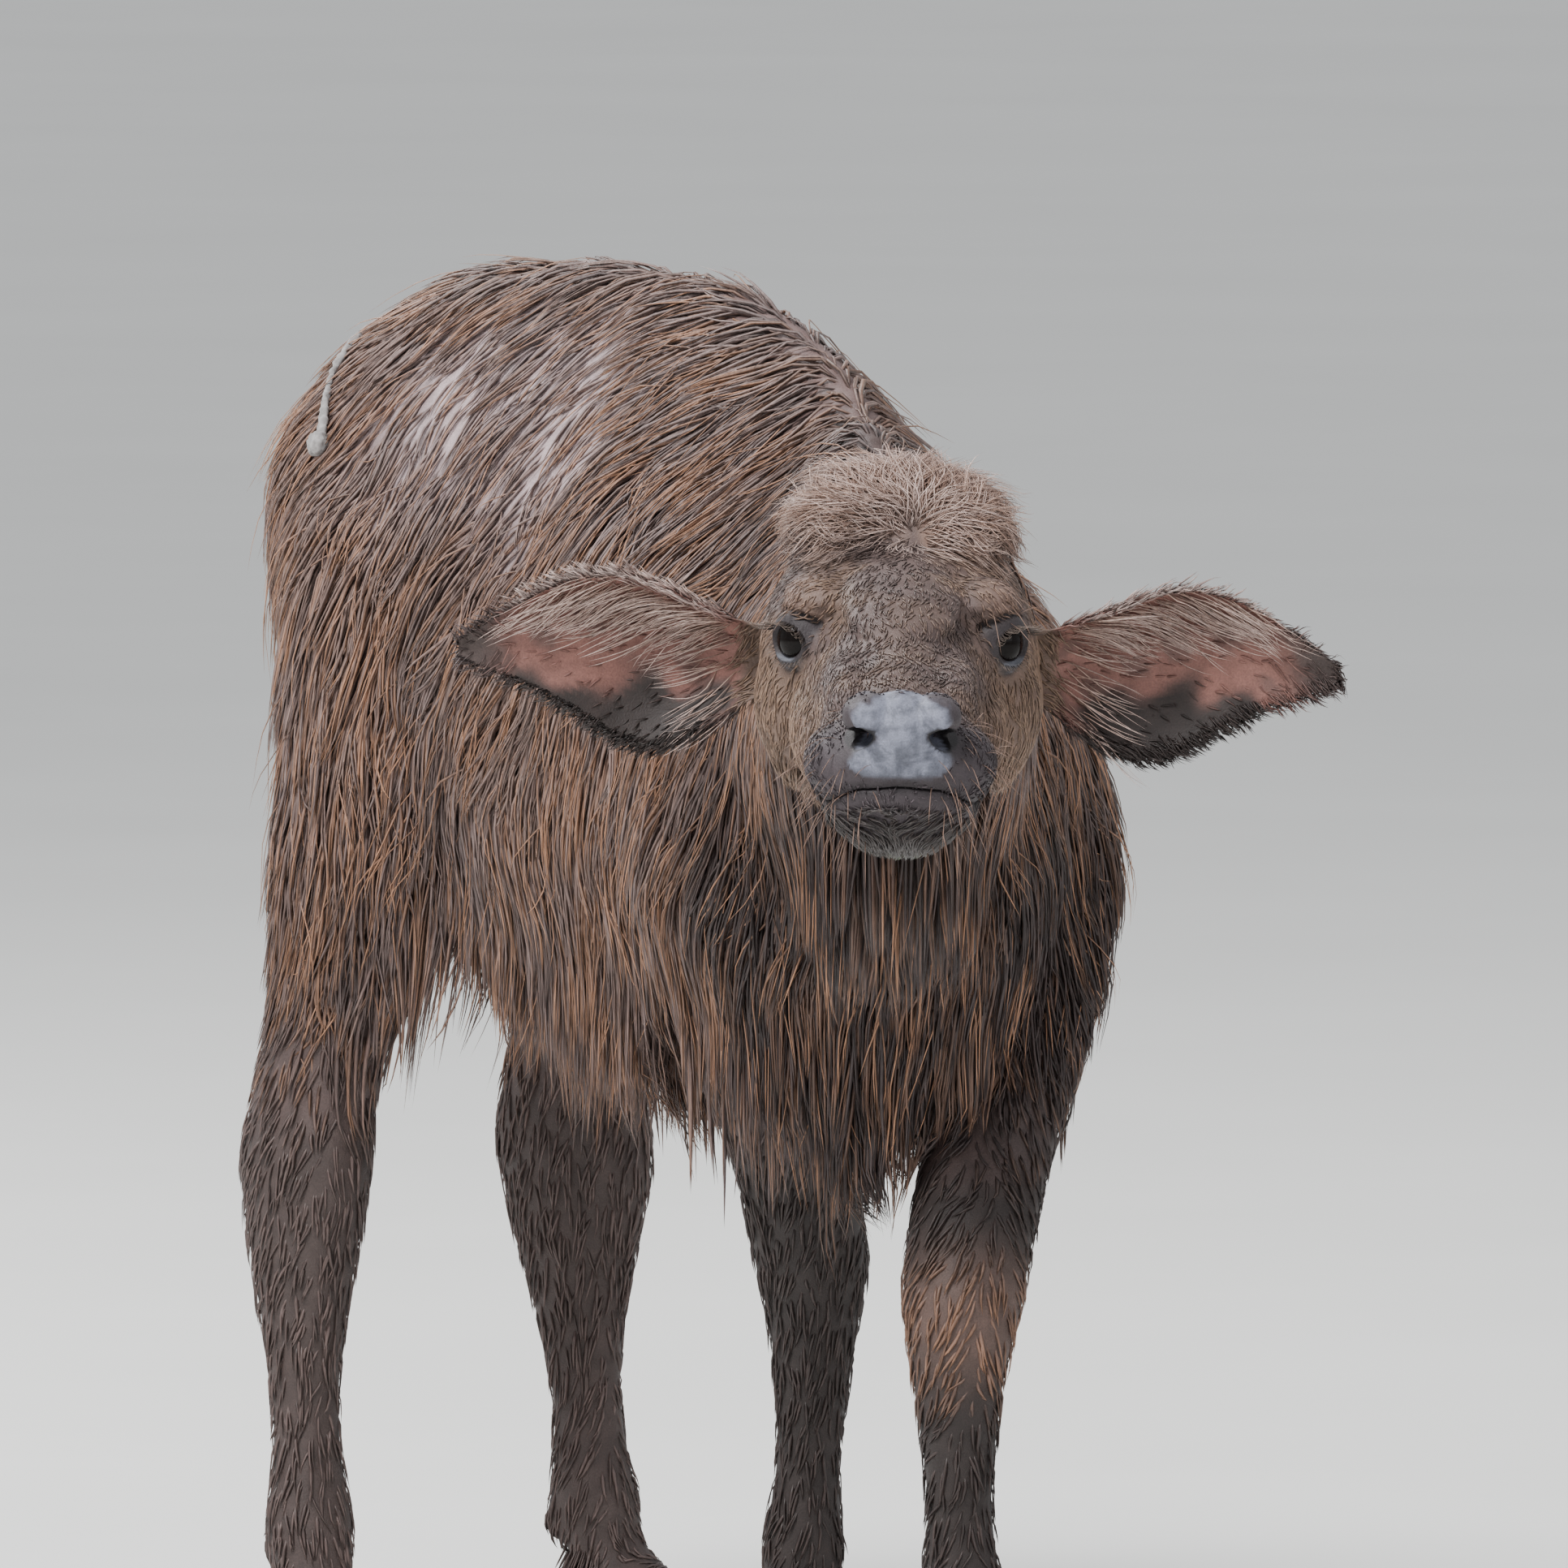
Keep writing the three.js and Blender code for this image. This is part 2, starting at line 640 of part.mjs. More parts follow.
// The black switch at the end of the tail
function switchLocks() {
  const made = [];
  for (let k = 0; k < 4; k++) {
    const turn = (k * Math.PI) / 2 + 0.4;
    const out = new THREE.Vector3(Math.cos(turn), Math.sin(turn), 0);
    const root = new THREE.Vector3(-10, 421, SWITCH_TOP + 6 - 12 * (k % 2)).addScaledVector(out, 3);
    const fall = (root.z - SWITCH_END - 14 * (k % 3)) / 4;
    const path = RISE.map((_, i) => {
      const p = root.clone().addScaledVector(UP, -i * fall).addScaledVector(out, 2.2 * i);
      return p.add(new THREE.Vector3(-2.2 * i * i, 0, 0));
    });
    made.push(lock(path, RISE.map(() => out), vary(20, 0.15), 9));
  }
  return made;
}

// Whole calf

// The keel of loose skin and long hair between the forelegs
function brisket() {
  const keel = new THREE.SphereGeometry(1, 16, 12).scale(46, 80, 78);
  keel.rotateZ(-28 * RADIANS);
  return solidOf(keel.translate(-64, -256, 448));
}

function coatedBody() {
  return wasm.Manifold.union([
    ...trunkLocks(),
    ...neckLocks(),
    ...Object.keys(LEGS).flatMap(legLocks),
    ...chestLocks(),
    ...crownLocks(),
    ...switchLocks(),
    brisket(),
    trunk.solid(17, 18, COAT_CORE),
    neck.solid(6, 16, COAT_CORE * 0.8),
    headCore(3),
    ear(-1),
    ear(1),
    dock.solid(10, 8, 2),
    ...Object.values(legs).map((leg) => leg.solid(15, 11, 2)),
    ...Object.keys(LEGS).flatMap(dewClaws),
  ]);
}

// A box in a frame of three axes
function boxCell(matrix, low, high, grow) {
  const size = high.map((h, i) => h - low[i] + 2 * grow);
  const box = new THREE.BoxGeometry(...size);
  box.translate(...high.map((h, i) => (h + low[i]) / 2));
  return solidOf(box.applyMatrix4(matrix));
}

const NECK_TURN = 28 * RADIANS;
const NECK_LEAN = 22 * RADIANS;
const withers = new THREE.Vector3(-46, -216, 838);
const neckAhead = new THREE.Vector3(
  -Math.sin(NECK_TURN) * Math.cos(NECK_LEAN),
  -Math.cos(NECK_TURN) * Math.cos(NECK_LEAN),
  Math.sin(NECK_LEAN),
);
const neckLeft = new THREE.Vector3(Math.cos(NECK_TURN), -Math.sin(NECK_TURN), 0);
const neckMatrix = new THREE.Matrix4()
  .makeBasis(neckAhead, neckLeft, new THREE.Vector3().crossVectors(neckAhead, neckLeft))
  .setPosition(withers);

// The room that each node takes out of the whole, in the order in which it is taken
const ROOMS = {
  ear_left: (grow) => boxCell(headMatrix, [-150, 84, -110], [20, 330, 90], grow),
  ear_right: (grow) => boxCell(headMatrix, [-150, -330, -110], [20, -84, 90], grow),
  head: (grow) => boxCell(headMatrix, [-112.5, -120, -190], [330, 120, 160], grow),
  neck: (grow) => boxCell(neckMatrix, [0, -260, -480], [420, 260, 160], grow),
  tail_dock: (grow) => boxCell(new THREE.Matrix4(), [-90, 403.3, SWITCH_TOP], [60, 520, 900], grow),
  tail_switch: (grow) => boxCell(new THREE.Matrix4(), [-150, 390, 200], [60, 520, SWITCH_TOP], grow),
  ...Object.fromEntries(
    Object.entries(LEGS).map(([name, leg]) => [
      `shank_${name}`,
      (grow) => {
        const [x, y, z] = leg.joints[2];
        const high = [x + 90, y + 120, z - SHANK_DROP[leg.kind]];
        return boxCell(new THREE.Matrix4(), [x - 90, y - 120, 0], high, grow);
      },
    ]),
  ),
  ...Object.fromEntries(
    Object.entries(legs).map(([name, leg]) => [`leg_${name}`, (grow) => leg.solid(8, 8, 28 + grow)]),
  ),
};

function parted(whole) {
  const nodes = {};
  let rest = whole;
  for (const [name, room] of Object.entries(ROOMS)) {
    nodes[name] = largest(rest.intersect(room(0)));
    rest = rest.subtract(room(SEAM));
  }
  nodes.torso = largest(rest);
  return nodes;
}

const solids = parted(coatedBody());
for (const [name, side] of [["eye_left", 1], ["eye_right", -1]]) solids[name] = eyeBall(side);
for (const leg of Object.keys(LEGS)) {
  solids[`claw_${leg}_outer`] = claw(leg, leg.endsWith("left") ? 1 : -1);
  solids[`claw_${leg}_inner`] = claw(leg, leg.endsWith("left") ? -1 : 1);
}

// Finishes

const finishes = {
  coat: new THREE.MeshStandardMaterial({ color: 0x6b4a3c, roughness: 0.75, metalness: 0 }),
  ear: new THREE.MeshStandardMaterial({ color: 0x5a4744, roughness: 0.8, metalness: 0 }),
  eye: new THREE.MeshStandardMaterial({ color: 0x0c0a0a, roughness: 0.08, metalness: 0 }),
  horn: new THREE.MeshStandardMaterial({ color: 0x2c2624, roughness: 0.5, metalness: 0 }),
};

function finishOf(name) {
  if (name.startsWith("eye")) return finishes.eye;
  if (name.startsWith("ear")) return finishes.ear;
  if (name.startsWith("claw")) return finishes.horn;
  return finishes.coat;
}

// Points put on a fine grid, so that no two stay closer than its step, without the faces that this flattens
function tidyGeometry({ vertProperties, triVerts }, step = 0.003) {
  const places = new Map();
  const points = [];
  const snapped = [];
  for (let i = 0; i < vertProperties.length; i += 3) {
    const at = [0, 1, 2].map((k) => Math.round(vertProperties[i + k] / step));
    const key = at.join();
    if (!places.has(key)) places.set(key, points.push(new THREE.Vector3(...at).multiplyScalar(step)) - 1);
    snapped.push(places.get(key));
  }
  const faces = new Map();
  for (let i = 0; i < triVerts.length; i += 3) {
    const face = [0, 1, 2].map((k) => snapped[triVerts[i + k]]);
    if (new Set(face).size < 3) continue;
    const turn = face.indexOf(Math.min(...face));
    const [a, b, c] = [0, 1, 2].map((k) => face[(turn + k) % 3]);
    if (!faces.delete([a, c, b].join())) faces.set([a, b, c].join(), [a, b, c]);
  }
  const geometry = new THREE.BufferGeometry().setFromPoints(points);
  return geometry.setIndex([...faces.values()].flat());
}

function meshOf(name, solid) {
  const geometry = tidyGeometry(solid.getMesh());
  const mesh = new THREE.Mesh(geometry, finishOf(name));
  mesh.name = name;
  return mesh;
}

const calf = new THREE.Group();
for (const [name, solid] of Object.entries(solids)) calf.add(meshOf(name, solid));

// The origin is under the middle of the calf's box, on the floor
const box = new THREE.Box3().setFromObject(calf);
calf.position.set(-(box.min.x + box.max.x) / 2, -(box.min.y + box.max.y) / 2, -box.min.z);

export default calf;
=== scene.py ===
"""Looks of a life-size water buffalo calf: one skin, a long wet coat of tufts, eyes and claws."""

import logging
import math
from dataclasses import dataclass
from enum import Enum
from typing import Callable

import bmesh
import bpy
import numpy as np
from mathutils import Matrix, Vector
from mathutils.bvhtree import BVHTree
from mathutils.kdtree import KDTree


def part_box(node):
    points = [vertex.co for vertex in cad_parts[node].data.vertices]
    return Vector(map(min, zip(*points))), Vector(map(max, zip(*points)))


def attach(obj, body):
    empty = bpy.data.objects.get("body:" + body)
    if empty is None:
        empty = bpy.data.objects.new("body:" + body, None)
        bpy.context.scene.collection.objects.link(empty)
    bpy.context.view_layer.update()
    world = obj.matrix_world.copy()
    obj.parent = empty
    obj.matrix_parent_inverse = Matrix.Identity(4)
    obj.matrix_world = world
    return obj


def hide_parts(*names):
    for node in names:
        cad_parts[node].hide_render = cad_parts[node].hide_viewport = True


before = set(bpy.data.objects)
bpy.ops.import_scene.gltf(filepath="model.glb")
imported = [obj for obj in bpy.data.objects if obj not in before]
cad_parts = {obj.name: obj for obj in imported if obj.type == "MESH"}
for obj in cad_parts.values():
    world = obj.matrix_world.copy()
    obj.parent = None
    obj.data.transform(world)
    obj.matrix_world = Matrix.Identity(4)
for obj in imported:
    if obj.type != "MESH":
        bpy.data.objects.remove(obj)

logging.basicConfig(level=logging.INFO, format="%(message)s")
log = logging.getLogger("calf")

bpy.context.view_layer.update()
RNG = np.random.default_rng(17)
UP = np.array([0.0, 0.0, 1.0])

Flow = Callable[[np.ndarray, np.ndarray], np.ndarray]  # gives the hair's lie at points with normals
Socket = bpy.types.NodeSocket

# The calf's own frame, in millimetres: rump towards +Y, left side at +X, the face turned to its right
HEAD_YAW, HEAD_PITCH, HEAD_ROLL = math.radians(36), math.radians(12), math.radians(1)
EYE_MIDPOINT = np.array([-247.0, -526.0, 698.0])
EYE_RADIUS = 16.5
EYE_CENTRE = (2.0, 57.0, 0.0)
GAZE = (0.66, 0.745, 0.06)

TRUNK_ROWS = [
    [0, 394, 732, 16, 22, 26, 0],
    [0, 382, 728, 56, 58, 76, 0.1],
    [0, 342, 708, 88, 122, 142, 0.25],
    [0, 270, 686, 107, 178, 172, 0.38],
    [0, 190, 660, 118, 216, 180, 0.45],
    [0, 100, 640, 128, 240, 192, 0.5],
    [-2, 0, 626, 134, 250, 200, 0.55],
    [-10, -90, 616, 134, 240, 200, 0.64],
    [-28, -170, 604, 126, 222, 190, 0.7],
    [-56, -235, 590, 122, 202, 178, 0.68],
    [-88, -292, 580, 96, 176, 162, 0.5],
    [-112, -330, 574, 60, 110, 116, 0.3],
    [-120, -344, 572, 18, 34, 40, 0],
]
NECK_ROWS = [
    [-38, -190, 640, 60, 110, 90, 0.3],
    [-52, -218, 640, 92, 168, 130, 0.64],
    [-90, -290, 634, 88, 150, 140, 0.6],
    [-128, -352, 642, 78, 130, 122, 0.4],
    [-164, -404, 662, 70, 104, 108, 0.3],
    [-196, -450, 680, 64, 80, 98, 0.2],
    [-206, -464, 684, 30, 36, 44, 0],
]
HEAD_ROWS = [
    [-132, -18, 26, 28, 24, 0],
    [-120, -18, 62, 60, 56, 0],
    [-92, -20, 79, 74, 76, 0.04],
    [-50, -24, 84, 72, 78, 0.06],
    [-16, -26, 80, 66, 74, 0.1],
    [16, -26, 64, 62, 70, 0.12],
    [44, -26, 56, 57, 66, 0.14],
    [80, -25, 51, 53, 60, 0.14],
    [116, -24, 48, 48, 56, 0.12],
    [150, -23, 48, 43, 53, 0.08],
    [182, -24, 52, 37, 51, 0],
    [204, -25, 50, 31, 45, 0],
    [219, -25, 40, 25, 34, 0],
    [227, -25, 15, 10, 13, 0],
]
LEG_JOINTS = {
    "fore_left": [[34, -214, 700], [50, -252, 505], [-63, -340, 282], [-72, -352, 92], [-80, -367, 46]],
    "fore_right": [[-104, -150, 700], [-108, -158, 505], [18, -70, 282], [38, -36, 92], [32, -50, 46]],
    "hind_left": [[74, 250, 740], [94, 250, 545], [122, 320, 322], [127, 306, 94], [136, 286, 46]],
    "hind_right": [[-74, 248, 740], [-92, 232, 545], [-114, 276, 328], [-122, 264, 94], [-125, 246, 46]],
}
LEG_HEADING = {"fore_left": -24, "fore_right": -24, "hind_left": 22, "hind_right": -6}
LEG_GIRTH = {"fore_left": 1.04, "fore_right": 0.98, "hind_left": 1.0, "hind_right": 1.0}
LEG_PROFILES = {
    "fore": [
        [0, 14, 30, 34],
        [0.12, 34, 60, 66],
        [0.5, 48, 76, 80],
        [0.85, 52, 62, 68],
        [1, 50, 54, 62],
        [1.3, 45, 46, 49],
        [1.7, 40, 38, 39],
        [1.92, 38, 39, 37],
        [2.06, 37, 38, 35],
        [2.25, 29, 29, 30],
        [2.6, 22, 21, 25],
        [2.88, 26, 24, 27],
        [3, 28, 26, 29],
        [3.35, 25, 24, 26],
        [3.8, 31, 31, 31],
        [4, 33, 34, 33],
    ],
    "hind": [
        [0, 18, 50, 50],
        [0.15, 40, 92, 88],
        [0.5, 48, 104, 98],
        [0.85, 50, 100, 88],
        [1.1, 50, 88, 78],
        [1.3, 47, 72, 68],
        [1.5, 40, 56, 54],
        [1.7, 36, 46, 50],
        [1.9, 36, 46, 56],
        [2, 37, 52, 58],
        [2.12, 35, 52, 54],
        [2.28, 31, 42, 45],
        [2.5, 24, 28, 31],
        [2.7, 22, 23, 25],
        [2.88, 26, 25, 28],
        [3, 29, 27, 30],
        [3.35, 26, 25, 27],
        [3.8, 32, 32, 32],
        [4, 34, 35, 34],
    ],
}
DOCK_ROWS = [
    [0, 336, 776, 14, 12, 12, 0],
    [0, 372, 796, 15, 15, 14, 0],
    [0, 403, 776, 13, 13, 13, 0],
    [-2, 414, 710, 11, 11, 11, 0],
    [-5, 419, 630, 9.5, 9.5, 9.5, 0],
    [-9, 421, 555, 8, 8, 8, 0],
    [-13, 421, 500, 6, 6, 6, 0],
]
EAR_ROWS = [
    [60, -30, 18],
    [88, -33, 24],
    [104, -36, 32],
    [126, -38, 43],
    [147, -37, 50],
    [170, -32, 50],
    [199, -26, 39],
    [228, -27, 24],
    [250, -31, 13],
    [264, -33, 5],
]
EAR_DROOP = {1: 0.035, -1: 0.0}
MOUTH_HALF_WIDTH = 58.0
MOUTH_CURL = 52.0  # how far its corners lie behind its middle


class Slot(Enum):
    """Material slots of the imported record."""

    COAT = "coat"
    EAR = "ear"
    EYE = "eye"
    HORN = "horn"


def unit(v: np.ndarray) -> np.ndarray:
    """Scales vectors to length one.

    Args:
        v: Vectors in the last axis.

    Returns:
        The unit vectors.
    """
    return v / np.maximum(np.linalg.norm(v, axis=-1, keepdims=True), 1e-9)


def dot(a: np.ndarray, b: np.ndarray) -> np.ndarray:
    """Dot product along the last axis, which is kept."""
    return (a * b).sum(-1, keepdims=True)


def rotated(v: np.ndarray, axis: np.ndarray, angle: float) -> np.ndarray:
    """Turns one vector about an axis by the right-hand rule."""
    swept = v * math.cos(angle) + np.cross(axis, v) * math.sin(angle)
    return swept + axis * (axis @ v) * (1 - math.cos(angle))


def row_at(rows: np.ndarray, t: np.ndarray) -> np.ndarray:
    """Reads a table of sections on a smooth curve.

    Args:
        rows: Table with one section a row.
        t: Places from 0 to 1.

    Returns:
        One interpolated row for each place.
    """
    last = len(rows) - 1
    place = np.clip(np.atleast_1d(t), 0, 1) * last
    i = np.minimum(place.astype(int), last - 1)
    u = (place - i)[:, None]
    a, b, c, d = (rows[np.clip(i + k, 0, last)] for k in (-1, 0, 1, 2))
    slope_b, slope_c, rise = (c - a) / 2, (d - b) / 2, c - b
    return b + u * (slope_b + u * (3 * rise - 2 * slope_b - slope_c + u * (slope_b + slope_c - 2 * rise)))


def ripple(p: np.ndarray, size: float, seed: int) -> np.ndarray:
    """Smooth repeatable noise from -1 to 1.

    Args:
        p: Points in millimetres.
        size: Size of the blotches in millimetres.
        seed: Picks the pattern.

    Returns:
        One value for each point.
    """
    source = np.random.default_rng(seed)
    total = np.zeros(len(p))
    for _ in range(7):
        way = unit(source.normal(size=3)) * source.uniform(0.7, 1.5) * 2 * math.pi / size
        total += np.sin(p @ way + source.uniform(0, 6.3))
    return np.clip(total / 3.2, -1, 1)


def bump01(x: np.ndarray) -> np.ndarray:
    """A smooth step from 0 at x <= 0 to 1 at x >= 1."""
    x = np.clip(x, 0, 1)
    return x * x * (3 - 2 * x)


def blob(p: np.ndarray, centre: tuple, size: tuple) -> np.ndarray:
    """How far points are inside a soft ellipsoid: 1 at its middle, 0 at its edge and beyond."""
    return bump01(1.25 - np.linalg.norm((p - np.array(centre)) / np.array(size), axis=-1))


# The head's axes
FORWARD = np.array(
    [
        -math.sin(HEAD_YAW) * math.cos(HEAD_PITCH),
        -math.cos(HEAD_YAW) * math.cos(HEAD_PITCH),
        -math.sin(HEAD_PITCH),
    ]
)
LEFT = rotated(np.array([math.cos(HEAD_YAW), -math.sin(HEAD_YAW), 0.0]), FORWARD, -HEAD_ROLL)
CROWN = -np.cross(LEFT, FORWARD)
HEAD_AXES = np.stack([FORWARD, LEFT, CROWN])


def from_head(p: np.ndarray) -> np.ndarray:
    """Points given forward, left and up of the middle between the eyes, in the calf's frame."""
    return EYE_MIDPOINT + np.asarray(p, float) @ HEAD_AXES


def to_head(p: np.ndarray) -> np.ndarray:
    """Points of the calf's frame as forward, left and up of the middle between the eyes."""
    return (np.asarray(p, float) - EYE_MIDPOINT) @ HEAD_AXES.T


def row_offset() -> np.ndarray:
    """Where the calf's own origin lies in the row frame, in metres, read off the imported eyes."""
    boxes = [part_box("eye_left"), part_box("eye_right")]
    middle = sum((np.array(low) + np.array(high)) / 2 for low, high in boxes) / 2
    return middle - from_head([EYE_CENTRE[0], 0, 0]) / 1000


OFFSET = row_offset()


def to_row(p: np.ndarray) -> np.ndarray:
    """Points of the calf's frame in the row frame, in metres."""
    return np.asarray(p, float) / 1000 + OFFSET


@dataclass
class Stack:
    """Closed sections strung along a path."""

    rows: np.ndarray
    axes: Callable[[np.ndarray], tuple[np.ndarray, np.ndarray]]
    fullness: float = 1.0

    def ring(self, t: float, sides: int, grow: float) -> np.ndarray:
        """The points of one section.

        Args:
            t: Place along the path, from 0 to 1.
            sides: Number of points.
            grow: How far outside the table's outline, in millimetres.

        Returns:
            The points in the calf's frame.
        """
        x, y, z, width, above, below, pinch = row_at(self.rows, np.array([t]))[0]
        a = np.arange(sides) * 2 * math.pi / sides
        c, s = np.cos(a), np.sin(a)
        low = s < 0
        c = np.where(low, np.sign(c) * np.abs(c) ** self.fullness, c)
        s = np.where(low, -(np.abs(s) ** self.fullness), s)
        side, up = self.axes(np.array([t]))
        across = (max(width, 1) + grow) * c * (1 - pinch * np.maximum(s, 0) ** 2)
        along = np.where(low, max(below, 1) + grow, max(above, 1) + grow) * s
        return np.array([x, y, z]) + across[:, None] * side + along[:, None] * up

    def loft(self, bm: bmesh.types.BMesh, rings: int, sides: int, grow: float = 0.0) -> None:
        """Adds the stack to a mesh as one closed body."""
        add_tube(bm, [self.ring(r / rings, sides, grow) for r in range(rings + 1)])


def add_tube(bm: bmesh.types.BMesh, rings: list[np.ndarray]) -> None:
    """Adds a closed tube through rings of points.

    Args:
        bm: Mesh to add to.
        rings: Rings with the same number of points each.
    """
    loops = []
    for ring in rings:
        verts = [bm.verts.new(Vector(p)) for p in to_row(ring)]
        loops.append([bm.edges.new((verts[k], verts[(k + 1) % len(verts)])) for k in range(len(verts))])
    for a, b in zip(loops, loops[1:]):
        bmesh.ops.bridge_loops(bm, edges=a + b)
    for end in (loops[0], loops[-1]):
        bmesh.ops.holes_fill(bm, edges=end, sides=0)


def ball_matrix(centre: np.ndarray, axes: np.ndarray, size: tuple) -> Matrix:
    """Places a unit ball: centre and axes in the calf's frame, half sizes in millimetres."""
    matrix = Matrix(np.array(axes).T.tolist()).to_4x4() @ Matrix.Diagonal([s / 1000 for s in size]).to_4x4()
    matrix.translation = Vector(to_row(centre))
    return matrix


def head_ball(bm: bmesh.types.BMesh, centre: tuple, size: tuple, tilt: float = 0.0) -> None:
    """Adds an ellipsoid given in the head's frame, tipped up at its front by tilt degrees."""
    c, s = math.cos(math.radians(tilt)), math.sin(math.radians(tilt))
    axes = np.array([c * FORWARD + s * CROWN, LEFT, c * CROWN - s * FORWARD])
    matrix = ball_matrix(from_head(centre), axes, size)
    bmesh.ops.create_uvsphere(bm, u_segments=24, v_segments=12, radius=1.0, matrix=matrix)


def upright_axes(rows: np.ndarray) -> Callable:
    """Axes of upright sections along a level path."""

    def axes(t: np.ndarray) -> tuple[np.ndarray, np.ndarray]:
        """Side and up of the section at each place."""
        ahead = row_at(rows, t + 0.03)[:, :3] - row_at(rows, t - 0.03)[:, :3]
        ahead[:, 2] = 0
        return -np.cross(unit(ahead), UP), np.tile(UP, (len(ahead), 1))

    return axes


def square_axes(rows: np.ndarray) -> Callable:
    """Axes of sections square to their path."""

    def axes(t: np.ndarray) -> tuple[np.ndarray, np.ndarray]:
        """Side and up of the section at each place."""
        ahead = unit(row_at(rows, t + 0.04)[:, :3] - row_at(rows, t - 0.04)[:, :3])
        side = unit(np.cross(UP, ahead))
        return side, np.cross(ahead, side)

    return axes


def dock_axes(t: np.ndarray) -> tuple[np.ndarray, np.ndarray]:
    """Axes of the tail's sections."""
    rows = np.array(DOCK_ROWS, float)
    ahead = row_at(rows, t + 0.04)[:, :3] - row_at(rows, t - 0.04)[:, :3]
    ahead[:, 0] = 0
    side = np.tile([1.0, 0.0, 0.0], (len(ahead), 1))
    return side, np.cross(side, unit(ahead))


def fixed_axes(side: np.ndarray, up: np.ndarray) -> Callable:
    """The same axes all along a stack."""
    return lambda t: (np.tile(side, (len(np.atleast_1d(t)), 1)), np.tile(up, (len(np.atleast_1d(t)), 1)))


def leg_axes(name: str) -> tuple[np.ndarray, np.ndarray]:
    """A leg's outward left axis and the way its foot points."""
    turn = math.radians(LEG_HEADING[name])
    return (
        np.array([math.cos(turn), math.sin(turn), 0.0]),
        np.array([math.sin(turn), -math.cos(turn), 0.0]),
    )


def leg_stack(name: str) -> Stack:
    """The sections of one leg, from shoulder or hip down to the claws."""
    joints = np.array(LEG_JOINTS[name], float)
    profile = np.array(LEG_PROFILES[name.split("_")[0]])
    centres = row_at(joints, profile[:, 0] / (len(joints) - 1))
    rows = np.column_stack([centres, profile[:, 1:] * LEG_GIRTH[name], np.zeros(len(profile))])
    return Stack(rows, fixed_axes(*leg_axes(name)))


TRUNK = Stack(np.array(TRUNK_ROWS, float), upright_axes(np.array(TRUNK_ROWS, float)), 0.8)
NECK = Stack(np.array(NECK_ROWS, float), square_axes(np.array(NECK_ROWS, float)))
HEAD = Stack(
    np.array([[*from_head([row[0], 0, row[1]]), *row[2:]] for row in HEAD_ROWS]),
    fixed_axes(LEFT, CROWN),
)
DOCK = Stack(np.array(DOCK_ROWS, float), dock_axes)
LEGS = {name: leg_stack(name) for name in LEG_JOINTS}


@dataclass(frozen=True)
class Coloring:
    """Colours of the hide and of the hair's root and tip at a set of points."""

    hide: np.ndarray
    root: np.ndarray
    tip: np.ndarray
    density: np.ndarray
    length: np.ndarray


def mix(a: np.ndarray, b: np.ndarray, w: np.ndarray | float) -> np.ndarray:
    """Blends colours a and b with one weight a point, or one for all."""
    w = np.atleast_1d(w)[:, None]
    return np.asarray(a) * (1 - w) + np.asarray(b) * w


RED_BROWN = np.array([0.150, 0.092, 0.074])
ORANGE = np.array([0.34, 0.175, 0.100])
MAUVE = np.array([0.235, 0.180, 0.170])
DARK_BROWN = np.array([0.046, 0.032, 0.031])
HIDE = np.array([0.165, 0.108, 0.100])
PALE_HIDE = np.array([0.40, 0.31, 0.315])
TAN = np.array([0.40, 0.25, 0.19])
PALE_TAN = np.array([0.64, 0.49, 0.44])
FACE_GREY = np.array([0.062, 0.044, 0.040])
FACE_BROWN = np.array([0.15, 0.097, 0.066])
LEG_DARK = np.array([0.075, 0.052, 0.047])
BLACK = np.array([0.016, 0.014, 0.015])
NOSE_MUD = np.array([0.155, 0.162, 0.205])
MUZZLE = np.array([0.046, 0.036, 0.040])
EAR_PINK = np.array([0.23, 0.105, 0.085])
CHIN_HAIR = np.array([0.075, 0.070, 0.068])
CHIN_GREEN = np.array([0.13, 0.2, 0.05])
LID_SKIN = np.array([0.035, 0.028, 0.03])
# Pale bluish painted reflection on the wet lower lids
WET_LID_SHEEN = np.array([0.16, 0.17, 0.20])


